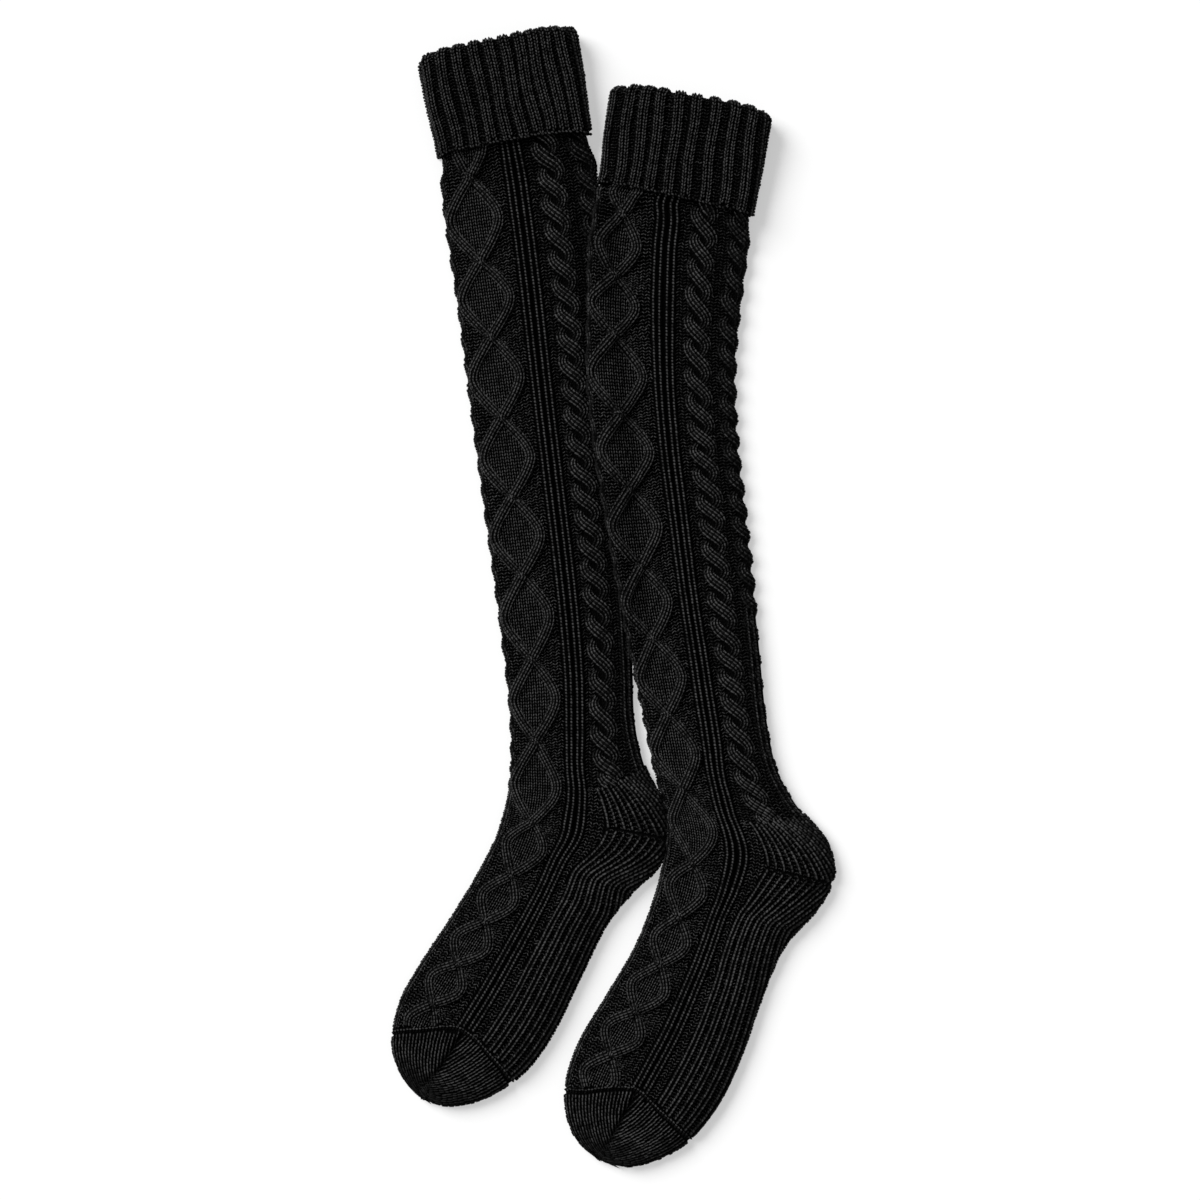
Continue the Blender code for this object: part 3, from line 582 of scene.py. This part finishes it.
def cloth_material(name, wale):
    """Knitted wool seen as cloth: V-shaped stitches in bump, by the cloth's own map."""
    material, tree, shader = new_material(name)
    place = add_node(tree, "ShaderNodeTexCoord", {})
    split = add_node(tree, "ShaderNodeSeparateXYZ", {0: place.outputs["UV"]})
    across = add_node(tree, MATH, {0: split.outputs["X"], 1: wale * MM}, operation="DIVIDE")
    fold = add_node(tree, MATH, {0: across, 1: 0.5}, operation="PINGPONG")
    along = add_node(tree, MATH, {0: split.outputs["Y"], 1: ROW * MM}, operation="DIVIDE")
    slanted = add_node(tree, MATH, {0: fold, 1: 1.6, 2: along}, operation="MULTIPLY_ADD")
    saw = add_node(tree, MATH, {0: slanted, 1: 0.5}, operation="PINGPONG")
    turn = add_node(tree, MATH, {0: fold, 1: 2 * math.pi}, operation="MULTIPLY")
    legs = add_node(tree, MATH, {0: turn}, operation="SINE")
    knit = add_node(tree, MATH, {0: legs, 1: saw}, operation="MULTIPLY")
    bump = add_node(tree, "ShaderNodeBump",
                    {"Strength": 1.0, "Distance": 1.6 * MM, "Height": knit})
    fibres = add_node(tree, NOISE,
                      {"Vector": place.outputs["Object"], "Scale": 900.0, "Detail": 3.0})
    # Painted shade: the cloth is near black, for the shade under the loops, with a random spread
    # of tone.
    ramp = add_node(tree, "ShaderNodeValToRGB", {0: fibres})
    for element, tone in zip(ramp.color_ramp.elements, (SHADE_BLACK, "080808")):
        element.color = colour(tone)
    set_inputs(tree, shader, {"Base Color": ramp, "Normal": bump, "Roughness": 0.9,
                              "Specular IOR Level": 0.03})
    return material


# The yarns get painted shade on their sides and ends and a painted highlight on their crowns.
leg_wool = yarn_material("black worsted wool yarn with painted light", "131313", "444444")
cuff_wool = yarn_material("black worsted wool rib yarn with painted light", "111111", "3f3f3f")
leg_cloth = cloth_material("black plain knit wool cloth with painted shade", 3.2)
cuff_cloth = cloth_material("black rib knit wool cloth with painted shade", 3.0)
print("materials:", leg_wool.name, "|", cuff_wool.name, "|", leg_cloth.name)


# %% [markdown]
# ## The cloth shell
# Under the loops is the cloth itself: one sheet that goes all round the sock and
# closes at the toe, a grid that Solidify thickens inward. On top it lies a little
# lower than the loops, and underneath it rests on the table.

# %% Shell of a stocking
SHELL_DEPTH = 2.1  # the cloth lies this far under the tops of plain loops
SHELL_DEPTH_AT_FOLD = 0.5  # and this far at the side folds, where it is stretched
SHELL_WALL = 1.6
SHELL_COLUMNS, SHELL_STEP = 64, 4.0
TOE_ROWS = (7, 5.5, 4, 2.6, 1.5, .7, .2)  # the last rows, counted from the tip


def ring(columns, upper, top, bottom):
    """Shares of a closed ring, lengths round the cloth, and distance in from a fold.
    upper is the share over the top. Lengths beneath the front half are negative."""
    share = np.arange(columns) / columns
    round_ = np.where(share < upper, share / upper * top,
                      top + (share - upper) / (1 - upper) * bottom)
    round_ = np.where(round_ > top + bottom / 2, round_ - top - bottom, round_)
    return share, round_, np.minimum(round_, top - round_)


def shell_mesh(name, points, across, along, material, wall, end_at=None):
    """A tube of cloth through a grid of points. across and along are its map, in mm.
    With end_at, its last row is drawn together there."""
    grid = np.arange(points[..., 0].size).reshape(points.shape[:2])
    around = np.roll(grid, -1, axis=1)
    quads = np.stack([grid[:-1], grid[1:], around[1:], around[:-1]], -1).reshape(-1, 4)
    triangles = np.zeros((0, 3), int)
    cloth_map = np.stack(np.broadcast_arrays(across, along), -1).reshape(-1, 2)
    spots = points.reshape(-1, 3)
    if end_at is not None:
        triangles = np.stack([grid[-1], np.full_like(grid[-1], grid.size), around[-1]], -1)
        cloth_map = np.concatenate([cloth_map, [[0, end_at]]])
        spots = np.concatenate([spots, [np.mean(points[-1], axis=0)]])
    corners = cloth_map[np.concatenate([triangles.ravel(), quads.ravel()])] * MM
    piece = polygon_mesh(name, spots, triangles, quads, corners, material)
    bpy.ops.object.select_all(action="DESELECT")
    piece.select_set(True)
    bpy.context.view_layer.objects.active = piece
    thicken = piece.modifiers.new("cloth", "SOLIDIFY")
    thicken.thickness, thicken.offset = wall * MM, -1.0
    bpy.ops.object.modifier_apply(modifier=thicken.name)
    print(piece.name, len(piece.data.polygons), "faces")
    return piece


def build_shell(sock):
    tip = TIP[sock]
    rows = np.concatenate([np.arange(5.5 - CROWN[sock], tip - 9, SHELL_STEP),
                           tip - np.array(TOE_ROWS)])[:, None]
    width = section_at(sock, rows)[2]
    top = over_top(width)
    bottom = width + (math.pi - 2) * np.minimum(UNDER_RADIUS, width / 2)
    share, round_, inside = ring(SHELL_COLUMNS, 0.5, top, bottom)
    stretched = SHELL_DEPTH - SHELL_DEPTH_AT_FOLD
    sunk = SHELL_DEPTH_AT_FOLD + stretched * smooth((inside - 3.0) / 4.0)
    lift = -sunk * smooth((inside + 4.0) / 4.0) * smooth((tip - rows) / 6)
    points, _ = raised(lambda at, place: tube_point(sock, at, place), rows, round_, lift)
    points[..., 2] = np.maximum(points[..., 2], 0.0)
    return shell_mesh(sock + "_stocking_cloth", points, 2 * share * top, rows, leg_cloth,
                      SHELL_WALL, end_at=tip)


shells = {sock: build_shell(sock) for sock in SECTIONS}

# %% [markdown]
# ## Rib lines, plain knit and purl
# Four single wales stand up as ribs, each like a string of beads. Inside the diamonds
# the knit is plain, two legs to each stitch. Round them the cloth shows its purl side,
# whose loops lie across the sock in fine zigzag lines.

# %% Plain pieces of the pattern
LEG_PITCH = 1.62  # legs of the plain knit: a stitch is two of them
STRAND_HALF = 3.3  # half width of a strand of the diamond cable
ROPE_REACH = 6.1  # a rope's strands swing this far from its middle
RIB_LIFT, FILL_LIFT, PURL_LIFT = 0.3, -0.4, -0.9
PURL_PITCH, PURL_RISE = 2.0, 0.95  # half a zigzag, and its height from the middle


def level(round_at, lift):
    """Path along a line of the cloth, at one height."""
    return lambda at: (at, round_at(at), lift)


def rib_line(sock, rows, share):
    """One bead chain, between the first and last rib line of the pattern."""
    def middle(at):
        first, last = pattern_lines(sock, at)[2:4]
        return first + (last - first) * share
    return chain(level(middle, RIB_LIFT), rows, 1.0, 1.3, 1.1, slant=0.45, tuck=0.8)


def purl_rows(at, start, stop, anchor, lift, pitch=PURL_PITCH, rise=PURL_RISE, lean=0.0):
    """Zigzag loops across rows, between two lengths round the cloth. lean is how far a
    row drops for each mm in front of its anchor."""
    legs = []
    for row, low, high, origin, over, drop in zip(
            *np.broadcast_arrays(at, start, stop, anchor, lift, lean)):
        origin = origin + chance.normal(0, 0.25)
        numbers = np.arange(math.ceil((low - origin) / pitch),
                            math.floor((high - origin) / pitch))
        if len(numbers) == 0:
            continue
        wave = np.where(numbers % 2 == 0, rise, -rise) * chance.uniform(0.65, 1.15)
        left = origin + numbers * pitch
        first, last = row - drop * (left - origin), row - drop * (left + pitch - origin)
        shake = chance.normal(0, 0.17, (6, len(numbers)))
        height = over + shake[4]
        legs.append(legs_of(first + wave + shake[0], left - 0.2 + shake[1], height,
                            last - wave + shake[2], left + pitch + 0.2 + shake[3], height,
                            0.52 + 0.4 * shake[5], 0.8, 0.5))
    return legs


# %% [markdown]
# ## The diamond cable
# Two strands part, run out to the diamond's corners, come back and cross, and the one
# from the upper right always lies on top. A strand is four lines of legs side by side
# over a rounded core.

# %% Diamond strands
CORNER_EASE = 0.34  # how round a diamond's corners are
STRAND_LINES = (-2.8, -0.95, 0.95, 2.8)
STRAND_DIVE, DIVE_LENGTH = 1.9, 6.0  # how deep and how far along a strand dives
STRAND_CORE = 1.35  # the core lies this far under the lines


def diamond_at(sock, at):
    """Index of the diamond, place in it from 0 to 1, and its half width's share."""
    marks = np.array(CROSSINGS[sock], float)
    index = np.clip(np.searchsorted(marks, at, side="right") - 1, 0, len(marks) - 2)
    share = np.clip((at - marks[index]) / (marks[index + 1] - marks[index]), 0, 1)
    bend = math.hypot(1, CORNER_EASE)
    out = (bend - np.hypot(2 * share - 1, CORNER_EASE)) / (bend - CORNER_EASE)
    return index, share, out * np.where(index == 0, FIRST_DIAMOND, 1.0)


def diamond_middle(sock, at):
    """Middle line of the diamonds, and half the width between their corners."""
    front, back = pattern_lines(sock, at)[:2]
    return (front + back) / 2, (back - front) / 2


def beside(line_at, at, offset):
    """Place beside a winding line, at an offset measured square to it."""
    slope = (line_at(at + 0.8) - line_at(at - 0.8)) / 1.6
    spread = offset / np.sqrt(1 + slope ** 2)
    return at - spread * slope, line_at(at) + spread


def strand_path(sock, side, line, sunk=0.0):
    """Path of one line of a strand. side is 1 for the back half of the diamonds."""
    marks = np.array(CROSSINGS[sock], float)

    def centre(at):
        middle, reach = diamond_middle(sock, at)
        return middle + side * diamond_at(sock, at)[2] * reach

    def path(at):
        index, share, _ = diamond_at(sock, at)
        # The strand from the back stays high as far as the next front corner, and the
        # other one dives under it.
        late = smooth((share - 0.3) / 0.35)
        crossing, high = (marks[index], late) if side > 0 else (marks[index + 1], 1 - late)
        dive = STRAND_DIVE * np.exp(-((at - crossing) / DIVE_LENGTH) ** 2)
        return *beside(centre, at, line), 0.9 + 1.2 * high - dive - 0.18 * line ** 2 - sunk
    return path


def diamond_cable(sock, rows):
    """Both strands, their cores and the plain knit inside the diamonds."""
    legs = []
    for side in (-1, 1):
        for number, line in enumerate(STRAND_LINES):
            legs.append(chain(strand_path(sock, side, line), rows, 0.82, 1.15, 1.35,
                              slant=0.2 * (-1) ** number))
        legs.append(chain(strand_path(sock, side, 0.0, STRAND_CORE), rows, 2.6, 1.2, 2.4))
    inside = diamond_at(sock, rows)[2] * diamond_middle(sock, rows)[1] - STRAND_HALF + 0.5
    for number in range(-12, 12):
        place = (number + 0.5) * LEG_PITCH
        path = level(lambda at: diamond_middle(sock, at)[0] + place, FILL_LIFT)
        legs.append(chain(path, rows[np.abs(place) < inside], 0.56, 0.85, 1.22,
                          slant=0.36 * (-1) ** number, tuck=0.58))
    return legs


# %% [markdown]
# ## Rope cables
# A rope is two strands that turn round each other, always the same way. Each strand
# shows as a lobe that comes up at the front, runs down and back over the other, and
# dips under the next lobe. One rope runs up the leg's side, one near the back fold,
# and one along the front fold, where it gives the sock's outline small steps.

# %% Rope strands
ROPE_LINES = (-3.45, -1.15, 1.15, 3.45)
EMERGES, DIVES = 1.0, 1.5  # how far a strand shows before and after its lobe, radians
ROPE_CORE = 1.6  # the core lies this far under the lines
ROPE_FLATTENS = 35.0  # a rope goes flat over this length


def rope(sock, rows, centre, size=1.0, lift=0.0, swell=1.9, flattens=math.inf):
    """Legs of a rope round a centre line, flatter from the place flattens on."""
    tops = np.array(ROPE_TURNS[sock], float) + TURN_LAG

    def phase(at, strand):
        return math.pi * (np.interp(at, tops, np.arange(len(tops))) + strand)

    def path_of(strand, line, sunk=0.0):
        def line_at(at):
            return centre(at) - ROPE_REACH * size * np.cos(phase(at, strand))

        def path(at):
            over = np.sin(phase(at, strand))
            flat = smooth((at - flattens) / ROPE_FLATTENS)
            crown = lift - 0.9 * flat + swell * (1 - 0.6 * flat) * over - 0.10 * line ** 2
            return *beside(line_at, at, line * (0.86 + 0.16 * over)), crown - sunk
        return path

    legs = []
    for strand in (0, 1):
        # A strand shows from just before its lobe, until it has dived.
        turned = (phase(rows, strand) + EMERGES) % (2 * math.pi)
        shown = rows[turned < EMERGES + math.pi + DIVES]
        for number, line in enumerate(ROPE_LINES):
            legs.append(chain(path_of(strand, line * size), shown, 0.85, 1.2, 1.4,
                              slant=0.16 * (-1) ** number, tuck=0.4))
        legs.append(chain(path_of(strand, 0.0, ROPE_CORE), shown[:-1], 2.9 * size, 1.3, 2.0))
    return legs


# %% [markdown]
# ## One leg, from cuff to toe
# The pieces are set side by side as the tables say, with purl ground between them.

# %% Leg and foot
SEAM_MARGIN = 1.3
HIDDEN = 9  # the right sock covers the left one's loops from here in
RIB_PLACES = (0.0, 0.31, 0.69, 1.0)  # the four ribs, as shares of their group
FOLD_PURL = 3.0  # the purl over the front fold ends here
HEEL_PRESS, PRESS_LENGTH = 480, 36  # where the left heel presses on the right sock
FRONT_ROPE, SECOND_ROPE = -3.2, 9.4
SECOND_SHAPE = {"left": (-0.6, 1.2), "right": (-0.2, 1.4)}  # its lift and swell
SECOND_FLAT = 325  # the second rope goes flat from here
BACK_CHAINS, CHAINS_FROM = (5.6, 9.0), 335  # in from the back fold, and mm along
UNDER_CUFF = 150  # so far down loops fill the back fold


def before_seam(sock, legs):
    """Only the loops above the toe's seam."""
    legs = np.concatenate(legs)
    limit = seam_at(sock, share_of(sock, legs[:, 3], legs[:, 4]))
    return legs[legs[:, 3] < limit - SEAM_MARGIN]


def under_neighbour(sock, legs):
    """Leaves out the left sock's loops that the right sock covers."""
    if sock == "right":
        return legs
    x, y, _ = tube_point(sock, legs[:, 0], legs[:, 1]).T
    edge_y, edge_x = RIGHT_FRONT_EDGE
    covered = (x > np.interp(y, edge_y, edge_x) + HIDDEN) & (y < edge_y[-1] - 6) & (y > edge_y[0])
    return legs[~covered]


def past_heel(sock, along, legs, margin=0.0):
    """Whether legs lie past the slanting line where the heel begins."""
    start, origin, climb = HEEL_LINE[sock]
    share = share_of(sock, legs[:, 0], legs[:, 1])
    return along >= start - climb * (share - origin) + margin


def leg_pattern(sock):
    rows = np.arange(CUFF[sock] - 3.0, TIP[sock] - 20, ROW)
    legs = diamond_cable(sock, rows)
    legs += [rib_line(sock, rows, share) for share in RIB_PLACES]
    middle, reach = diamond_middle(sock, rows)
    _, passed, outward = diamond_at(sock, rows)
    out = outward * reach + STRAND_HALF - 0.6
    anchor = pattern_lines(sock, rows)[2] - 1.9
    # The rows are pulled down where the strands draw the cloth in.
    lean = 0.17 * (1 - np.cos(2 * math.pi * (passed - 0.3)))
    legs += purl_rows(rows, middle + out - 3, anchor + 0.5, anchor, PURL_LIFT, lean=lean)
    legs += purl_rows(rows, FOLD_PURL, middle - out + 1, anchor, PURL_LIFT)
    # Beside the left sock's heel the right sock's edge bulges against it.
    pressed = np.exp(-((rows - HEEL_PRESS) / PRESS_LENGTH) ** 4) if sock == "right" else 0.0
    legs += purl_rows(rows, FOLD_PURL - 7, FOLD_PURL, anchor, -0.7 + 1.8 * pressed)
    legs = [before_seam(sock, legs)]
    legs.append(before_seam(sock, rope(sock, rows, lambda at: FRONT_ROPE, 0.8, -0.3, 1.0)))

    above = rows[rows < HEEL_TURN[sock]]
    lines = pattern_lines(sock, above)
    side = []
    for low, high, origin in ((lines[3] + 1.2, lines[4] + 5, lines[3] + 1.9),
                              (lines[5] - 5, lines[6] + 5, lines[5])):
        side += purl_rows(above, low, high, origin, PURL_LIFT - 0.35, pitch=2.3, rise=1.0)
    # Just under the cuff a few loops fill the back fold, where the rope is still flat.
    high = above[above < UNDER_CUFF]
    back = top_at(sock, high)
    side += purl_rows(high, back - 4, back + 4, back, -0.3)
    side += rope(sock, above, lambda at: sum(pattern_lines(sock, at)[4:6]) / 2)
    side += rope(sock, above, lambda at: pattern_lines(sock, at)[6] + SECOND_ROPE, 1.05,
                 *SECOND_SHAPE[sock], flattens=SECOND_FLAT)
    # Where it lies flat, its edge shows as two chains beside the back fold.
    for inset in BACK_CHAINS:
        path = level(lambda at: top_at(sock, at) - inset, -0.2)
        side.append(chain(path, above[above > CHAINS_FROM], 0.9, 1.2, 1.2, slant=0.4, tuck=0.7))
    side = np.concatenate(side)
    legs.append(side[~past_heel(sock, side[:, 3], side, 3.0)])
    return under_neighbour(sock, np.concatenate(legs))


# %% [markdown]
# ## Heel, sole and toe
# The heel is turned with short rows: its wales slant towards the back, meet at a line,
# and slant forward again. On the sole they stand in pairs with purl between. The toe
# is plain knit, whose wales run in to a line on its middle.

# %% Heel and sole
CHEVRON, CHEVRON_LENGTH = 22.0, 33.0  # how far the heel's wales slant, and how long
SOLE_WALES = 17
TURN_WIDTH = 1.4  # the line where the heel turns
PAIR_ROOM = 4.2  # wales of a pair that lie further apart get purl between


def sole_wale(sock, number):
    """Path of one wale of heel and sole."""
    turn, low_wales = HEEL_TURN[sock], 0.25 * smooth((number - 6) / 5)

    def path(at):
        start, spacing = curve_at(SOLE[sock][:, 0], SOLE[sock][:, 1:], at).T
        paired = smooth((at - turn - 10) / 40) * 0.10 * (-1) ** number
        share = start + spacing * (number + paired)
        near = np.clip(1 - np.abs(at - turn) / CHEVRON_LENGTH, 0, 1)
        push = CHEVRON * near ** 1.1 * min(1.05, 0.4 + 0.1 * number)
        middle = share * section_at(sock, at)[2] + FOLD_RADIUS * (math.pi / 2 - 1) + push
        pulled_in = np.exp(-((at - turn) / TURN_WIDTH) ** 2)
        return at, middle, 0.10 - low_wales - 1.3 * pulled_in
    return path


def sole_pattern(sock):
    rows = np.arange(HEEL_TURN[sock] - 42, TIP[sock] - 20, ROW)
    wales = [sole_wale(sock, number) for number in range(SOLE_WALES)]
    legs = []
    for number, wale in enumerate(wales):
        # The wales stop short of the turn on both sides, which leaves a dark line.
        own_rows = rows + chance.uniform(-0.6, 0.6)
        own_rows = own_rows[np.abs(own_rows + 1.5 - HEEL_TURN[sock]) > 1.1]
        legs.append(chain(wale, own_rows, 1.04, 1.2, 1.4, slant=0.3 * (-1) ** number, tuck=0.36))
    # Purl bumps between the rib lines and the sole, and between the pairs.
    ribs_end = pattern_lines(sock, rows)[3]
    middles = [wale(rows)[1] for wale in wales]
    legs += purl_rows(rows, ribs_end + 1.2, middles[0] - 0.8, ribs_end + 1.9, PURL_LIFT)
    for number, (low, high) in enumerate(zip(middles, middles[1:])):
        # Inside a pair there is room for purl only where the heel spreads the wales.
        room = high - low > (PAIR_ROOM if number % 2 == 0 else 0.0)
        low, high = low[room], high[room]
        legs += purl_rows(rows[room], low + 0.9, high - 0.4, low + 1.2, PURL_LIFT - 0.15,
                          pitch=1.4, rise=0.5)
    legs = before_seam(sock, legs)
    on_top = legs[:, 1] < top_at(sock, legs[:, 0]) + 4
    return legs[past_heel(sock, legs[:, 0], legs) & on_top]


# %% Toe
TOE_WALE = 2.4
TOE_START, TOE_END = 672.0, 1.6  # first row of the toe, and how near to its tip
SEAM_PITCH, SEAM_PLACE = 2.1, 684.0


def toe_pattern(sock):
    last = TIP[sock] - TOE_END
    rows = np.arange(TOE_START, last, ROW)
    top = top_at(sock, rows)
    legs = []
    for number in range(-1, 24):
        place = (number + 0.5) * TOE_WALE
        for fold in (-1, 1):
            def path(at):
                top = top_at(sock, at)
                round_ = place + 0 * at if fold < 0 else top - place
                wedge = np.abs(share_of(sock, at, round_) - WEDGE) * top
                return at, round_, -0.1 - 2.3 * np.exp(-(wedge / 2.1) ** 2)
            round_ = path(rows)[1]
            seam = seam_at(sock, share_of(sock, rows, round_))
            # Each wale has its first loop just past the seam.
            own_rows = rows + (seam[4] + 0.5 - rows[0]) % ROW + chance.uniform(0, 0.6)
            own = fold * (round_ - WEDGE * top) > 0.9
            own &= (own_rows > seam + 0.3) & (own_rows < last)
            legs.append(chain(path, own_rows[own], 0.7, 1.1, 1.45, slant=-0.2 * fold,
                              tuck=0.32, shake=0.15))
    # The last row of the foot, a line of loops along the seam, and under it the seam's
    # own stitches, deep in the groove.
    across = np.arange(-5.0, float(top_at(sock, SEAM_PLACE)) + 5.0, SEAM_PITCH)
    rise = seam_at(sock, share_of(sock, SEAM_PLACE, across)) - 1.5
    rise = rise + chance.normal(0, 0.3, len(across))
    after = seam_at(sock, share_of(sock, SEAM_PLACE, across + SEAM_PITCH)) - 1.5
    for shift, lift, *size in ((0, -0.2, 0.9, 1.1, 0.6), (1.6, -2.0, 1.1, 0.9, 0.3)):
        legs.append(legs_of(rise + shift, across, lift, after + shift,
                            across + SEAM_PITCH + 0.1, lift, *size))
    return np.concatenate(legs)


# %% Build the loops of legs, heels and toes
SPLITS = (0, 270, 470, 800)  # a mesh is kept under 200,000 triangles
loops = {"left": [], "right": []}
for sock in loops:
    everything = np.concatenate([leg_pattern(sock), sole_pattern(sock), toe_pattern(sock)])

    def skin(at, round_, sock=sock):
        return tube_point(sock, np.clip(at, 0, TIP[sock]), round_)

    def fold_shade(at, round_, sock=sock):
        """Painted shade: darker towards the back fold, at the front fold and towards the toe's
        end.
        """
        share = share_of(sock, at, round_)
        folds = (1 - 0.25 * smooth((share - 0.7) / 0.28)) * (0.62 + 0.38 * smooth(share / 0.04))
        return folds * (1 - 0.4 * smooth((at - TIP[sock] + 26) / 22))

    for part, low, high in zip(("upper_leg", "lower_leg", "foot"), SPLITS, SPLITS[1:]):
        chosen = everything[(everything[:, 0] >= low) & (everything[:, 0] < high)]
        loops[sock].append(build_loops(f"{sock}_{part}_loops", skin, chosen, leg_wool, fold_shade))

# %% [markdown]
# ## The cuffs
# The cuff is the top of the sock turned down over itself, in a rib of two plain and two
# purl wales, whose ends make small scallops along the fold. Its cloth goes round the
# fold and a little way down inside.

# %% Cuff surface
FOLD_TURN = 3.5  # radius of the turned edge
BAND_GROW = 4.3  # the band's skin lies this far outside the leg's
DEPTH = {sock: CUFF[sock] + CROWN[sock] for sock in CUFF}  # from fold to hem
# Middles of the ribs, as shares of the leg's flat width inside the cuff.
CUFF_RIBS = {
    "left": (.000, .111, .227, .347, .454, .558, .657, .749, .840, .939, 1.035),
    "right": (-.022, .098, .204, .309, .431, .547, .678, .811, .935, 1.035),
}
# The same as lengths round the band, taken halfway down it.
RIB_MIDDLES = {sock: round_of(sock, DEPTH[sock] / 2 - CROWN[sock], np.array(shares), BAND_GROW)
               for sock, shares in CUFF_RIBS.items()}


def band_place(sock):
    def place(down, round_):
        angle = np.maximum(FOLD_TURN - down, 0) / FOLD_TURN
        at = np.where(down < FOLD_TURN, FOLD_TURN - FOLD_TURN * np.sin(angle), down) - CROWN[sock]
        grow = BAND_GROW - FOLD_TURN * (1 - np.cos(angle))
        # Lengths round the cloth are counted on the band's outer skin.
        width = section_at(sock, at)[2]
        full, now = over_top(width + 2 * BAND_GROW, BAND_GROW), over_top(width + 2 * grow, grow)
        return tube_point(sock, at, round_ * now / full, grow)
    return place


def rib_height(sock, round_):
    """1 on a rib and 0 in a valley."""
    near = np.min(np.abs(round_[..., None] - RIB_MIDDLES[sock]), axis=-1)
    return smooth((5.2 - near) / 2.6)


# %% Cuff shells
CUFF_WALL, CUFF_COLUMNS, CUFF_TOP_SHARE = 1.5, 168, 0.6
INSIDE_ROWS = (-4.5, -3.4, -2.3, -1.2, 0, 1.2, 2.4, 3.5)  # from inside, round the fold
MAP_START = 10  # the cuff's map starts this far from its fold


def build_cuff_shell(sock):
    depth = DEPTH[sock]
    rows = np.concatenate([INSIDE_ROWS, np.arange(6, depth - 2, SHELL_STEP),
                           [depth - 1.5, depth - 0.4]])[:, None]
    width = section_at(sock, rows - CROWN[sock])[2] + 2 * BAND_GROW
    top = over_top(width, BAND_GROW)
    bottom = width + (math.pi - 2) * (UNDER_RADIUS + BAND_GROW)
    _, round_, inside = ring(CUFF_COLUMNS, CUFF_TOP_SHARE, top, bottom)
    rib = rib_height(sock, round_)
    flat = smooth((rows + 1.0) / 6.0)
    sunk = (1.1 + 1.3 * (1 - rib)) * flat + (0.7 - 1.2 * rib) * (1 - flat)
    lift = -sunk * smooth((inside + 6.0) / 6.0)
    points, _ = raised(band_place(sock), rows, round_, lift)
    points[..., 2] = np.maximum(points[..., 2], 0.05)
    return shell_mesh(sock + "_cuff_cloth", points, round_ % (top + bottom),
                      rows + MAP_START, cuff_cloth, CUFF_WALL)


cuff_shells = {sock: build_cuff_shell(sock) for sock in SECTIONS}


# %% [markdown]
# Each rib has two wales with a narrow dark line between them, and the valley beside it
# shows purl loops. At the hem the ribs end a little unevenly, as a loose bind-off does.

# %% Loops of the cuffs
RIB_LINES = (-2.7, -1.12, 1.12, 2.7)
RIB_STEP, RIBS_BENEATH = 10.5, 10  # the ribs that go on past the back fold
RIB_TOP, RIB_TOP_BENEATH = 0.35, -0.6
HEM_PITCH = 2.3


def cuff_pattern(sock):
    # The ribs go on round both side folds and over the lower panel's turned edge. Only
    # what clears the table is built.
    on_top = len(RIB_MIDDLES[sock])
    first, last = RIB_MIDDLES[sock][[0, -1]]
    beneath = last + RIB_STEP * np.arange(1, RIBS_BENEATH + 1)
    middles = np.concatenate([[first - RIB_STEP], RIB_MIDDLES[sock], beneath])
    legs = []
    for number, middle in enumerate(middles):
        uneven = chance.normal(0, 0.7)
        rows = np.arange(-4.0, DEPTH[sock] - 2.2 + uneven, ROW)
        top = RIB_TOP if 0 < number <= on_top else RIB_TOP_BENEATH
        for place, line in enumerate(RIB_LINES):
            def path(down):
                at_fold = smooth((5 - down) / 5)
                wander = 0.5 * np.sin(down / 9 + number)
                return (down, middle + line * (1 + 0.1 * at_fold) + wander,
                        top - 0.10 * line ** 2 + 0.7 * at_fold)
            own_rows = rows + chance.uniform(-0.5, 0.5)
            legs.append(chain(path, own_rows[own_rows < rows[-1] + 0.2], 0.76, 1.15, 1.25,
                              slant=0.5 * (-1) ** place, tuck=0.55, shake=0.13))
    rows = np.arange(-2.0, DEPTH[sock] - 1.5, ROW)
    for low, high in zip(middles, middles[1:]):
        legs += purl_rows(rows, low + 3.4, high - 3.0, low + 3.6, -1.4, pitch=1.7, rise=0.7)
    # The bind-off: one row of uneven loops across the hem, which the ribs lift.
    whole = float(over_top(section_at(sock, 30.0)[2] + 2 * BAND_GROW, BAND_GROW))
    across = 1.5 + np.arange(int((whole - 5) / HEM_PITCH)) * HEM_PITCH
    dip = rib_height(sock, across)
    shake = chance.normal(0, 0.4, (3, len(across)))
    hem = DEPTH[sock] - 1.1 + 0.8 * dip + shake[0]
    height = -1.5 + 1.2 * dip + 0.5 * shake[1]
    legs.append(legs_of(hem - 0.7, across, height, hem + 0.5,
                        across + HEM_PITCH + 0.4 * shake[2], height, 0.9, 0.95, 0.8))
    return np.concatenate(legs)


for sock in loops:
    loops[sock].append(build_loops(f"{sock}_cuff_loops", band_place(sock),
                                   cuff_pattern(sock), cuff_wool))

# %% [markdown]
# ## Hand the pieces to the frame
# Each shell stands for its CAD solid, and the loop meshes ride with it.

# %% Frame calls
for sock in ("left", "right"):
    leg_loops, cuff_loops = loops[sock][:3], loops[sock][3]
    for piece in [shells[sock]] + leg_loops:
        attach(piece, "root")
    for piece in (cuff_shells[sock], cuff_loops):
        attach(piece, "root")
    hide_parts(sock + "_stocking")
    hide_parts(sock + "_cuff")

# %% Count of pieces
print("pieces:", 2 * len(shells) + sum(len(meshes) for meshes in loops.values()))
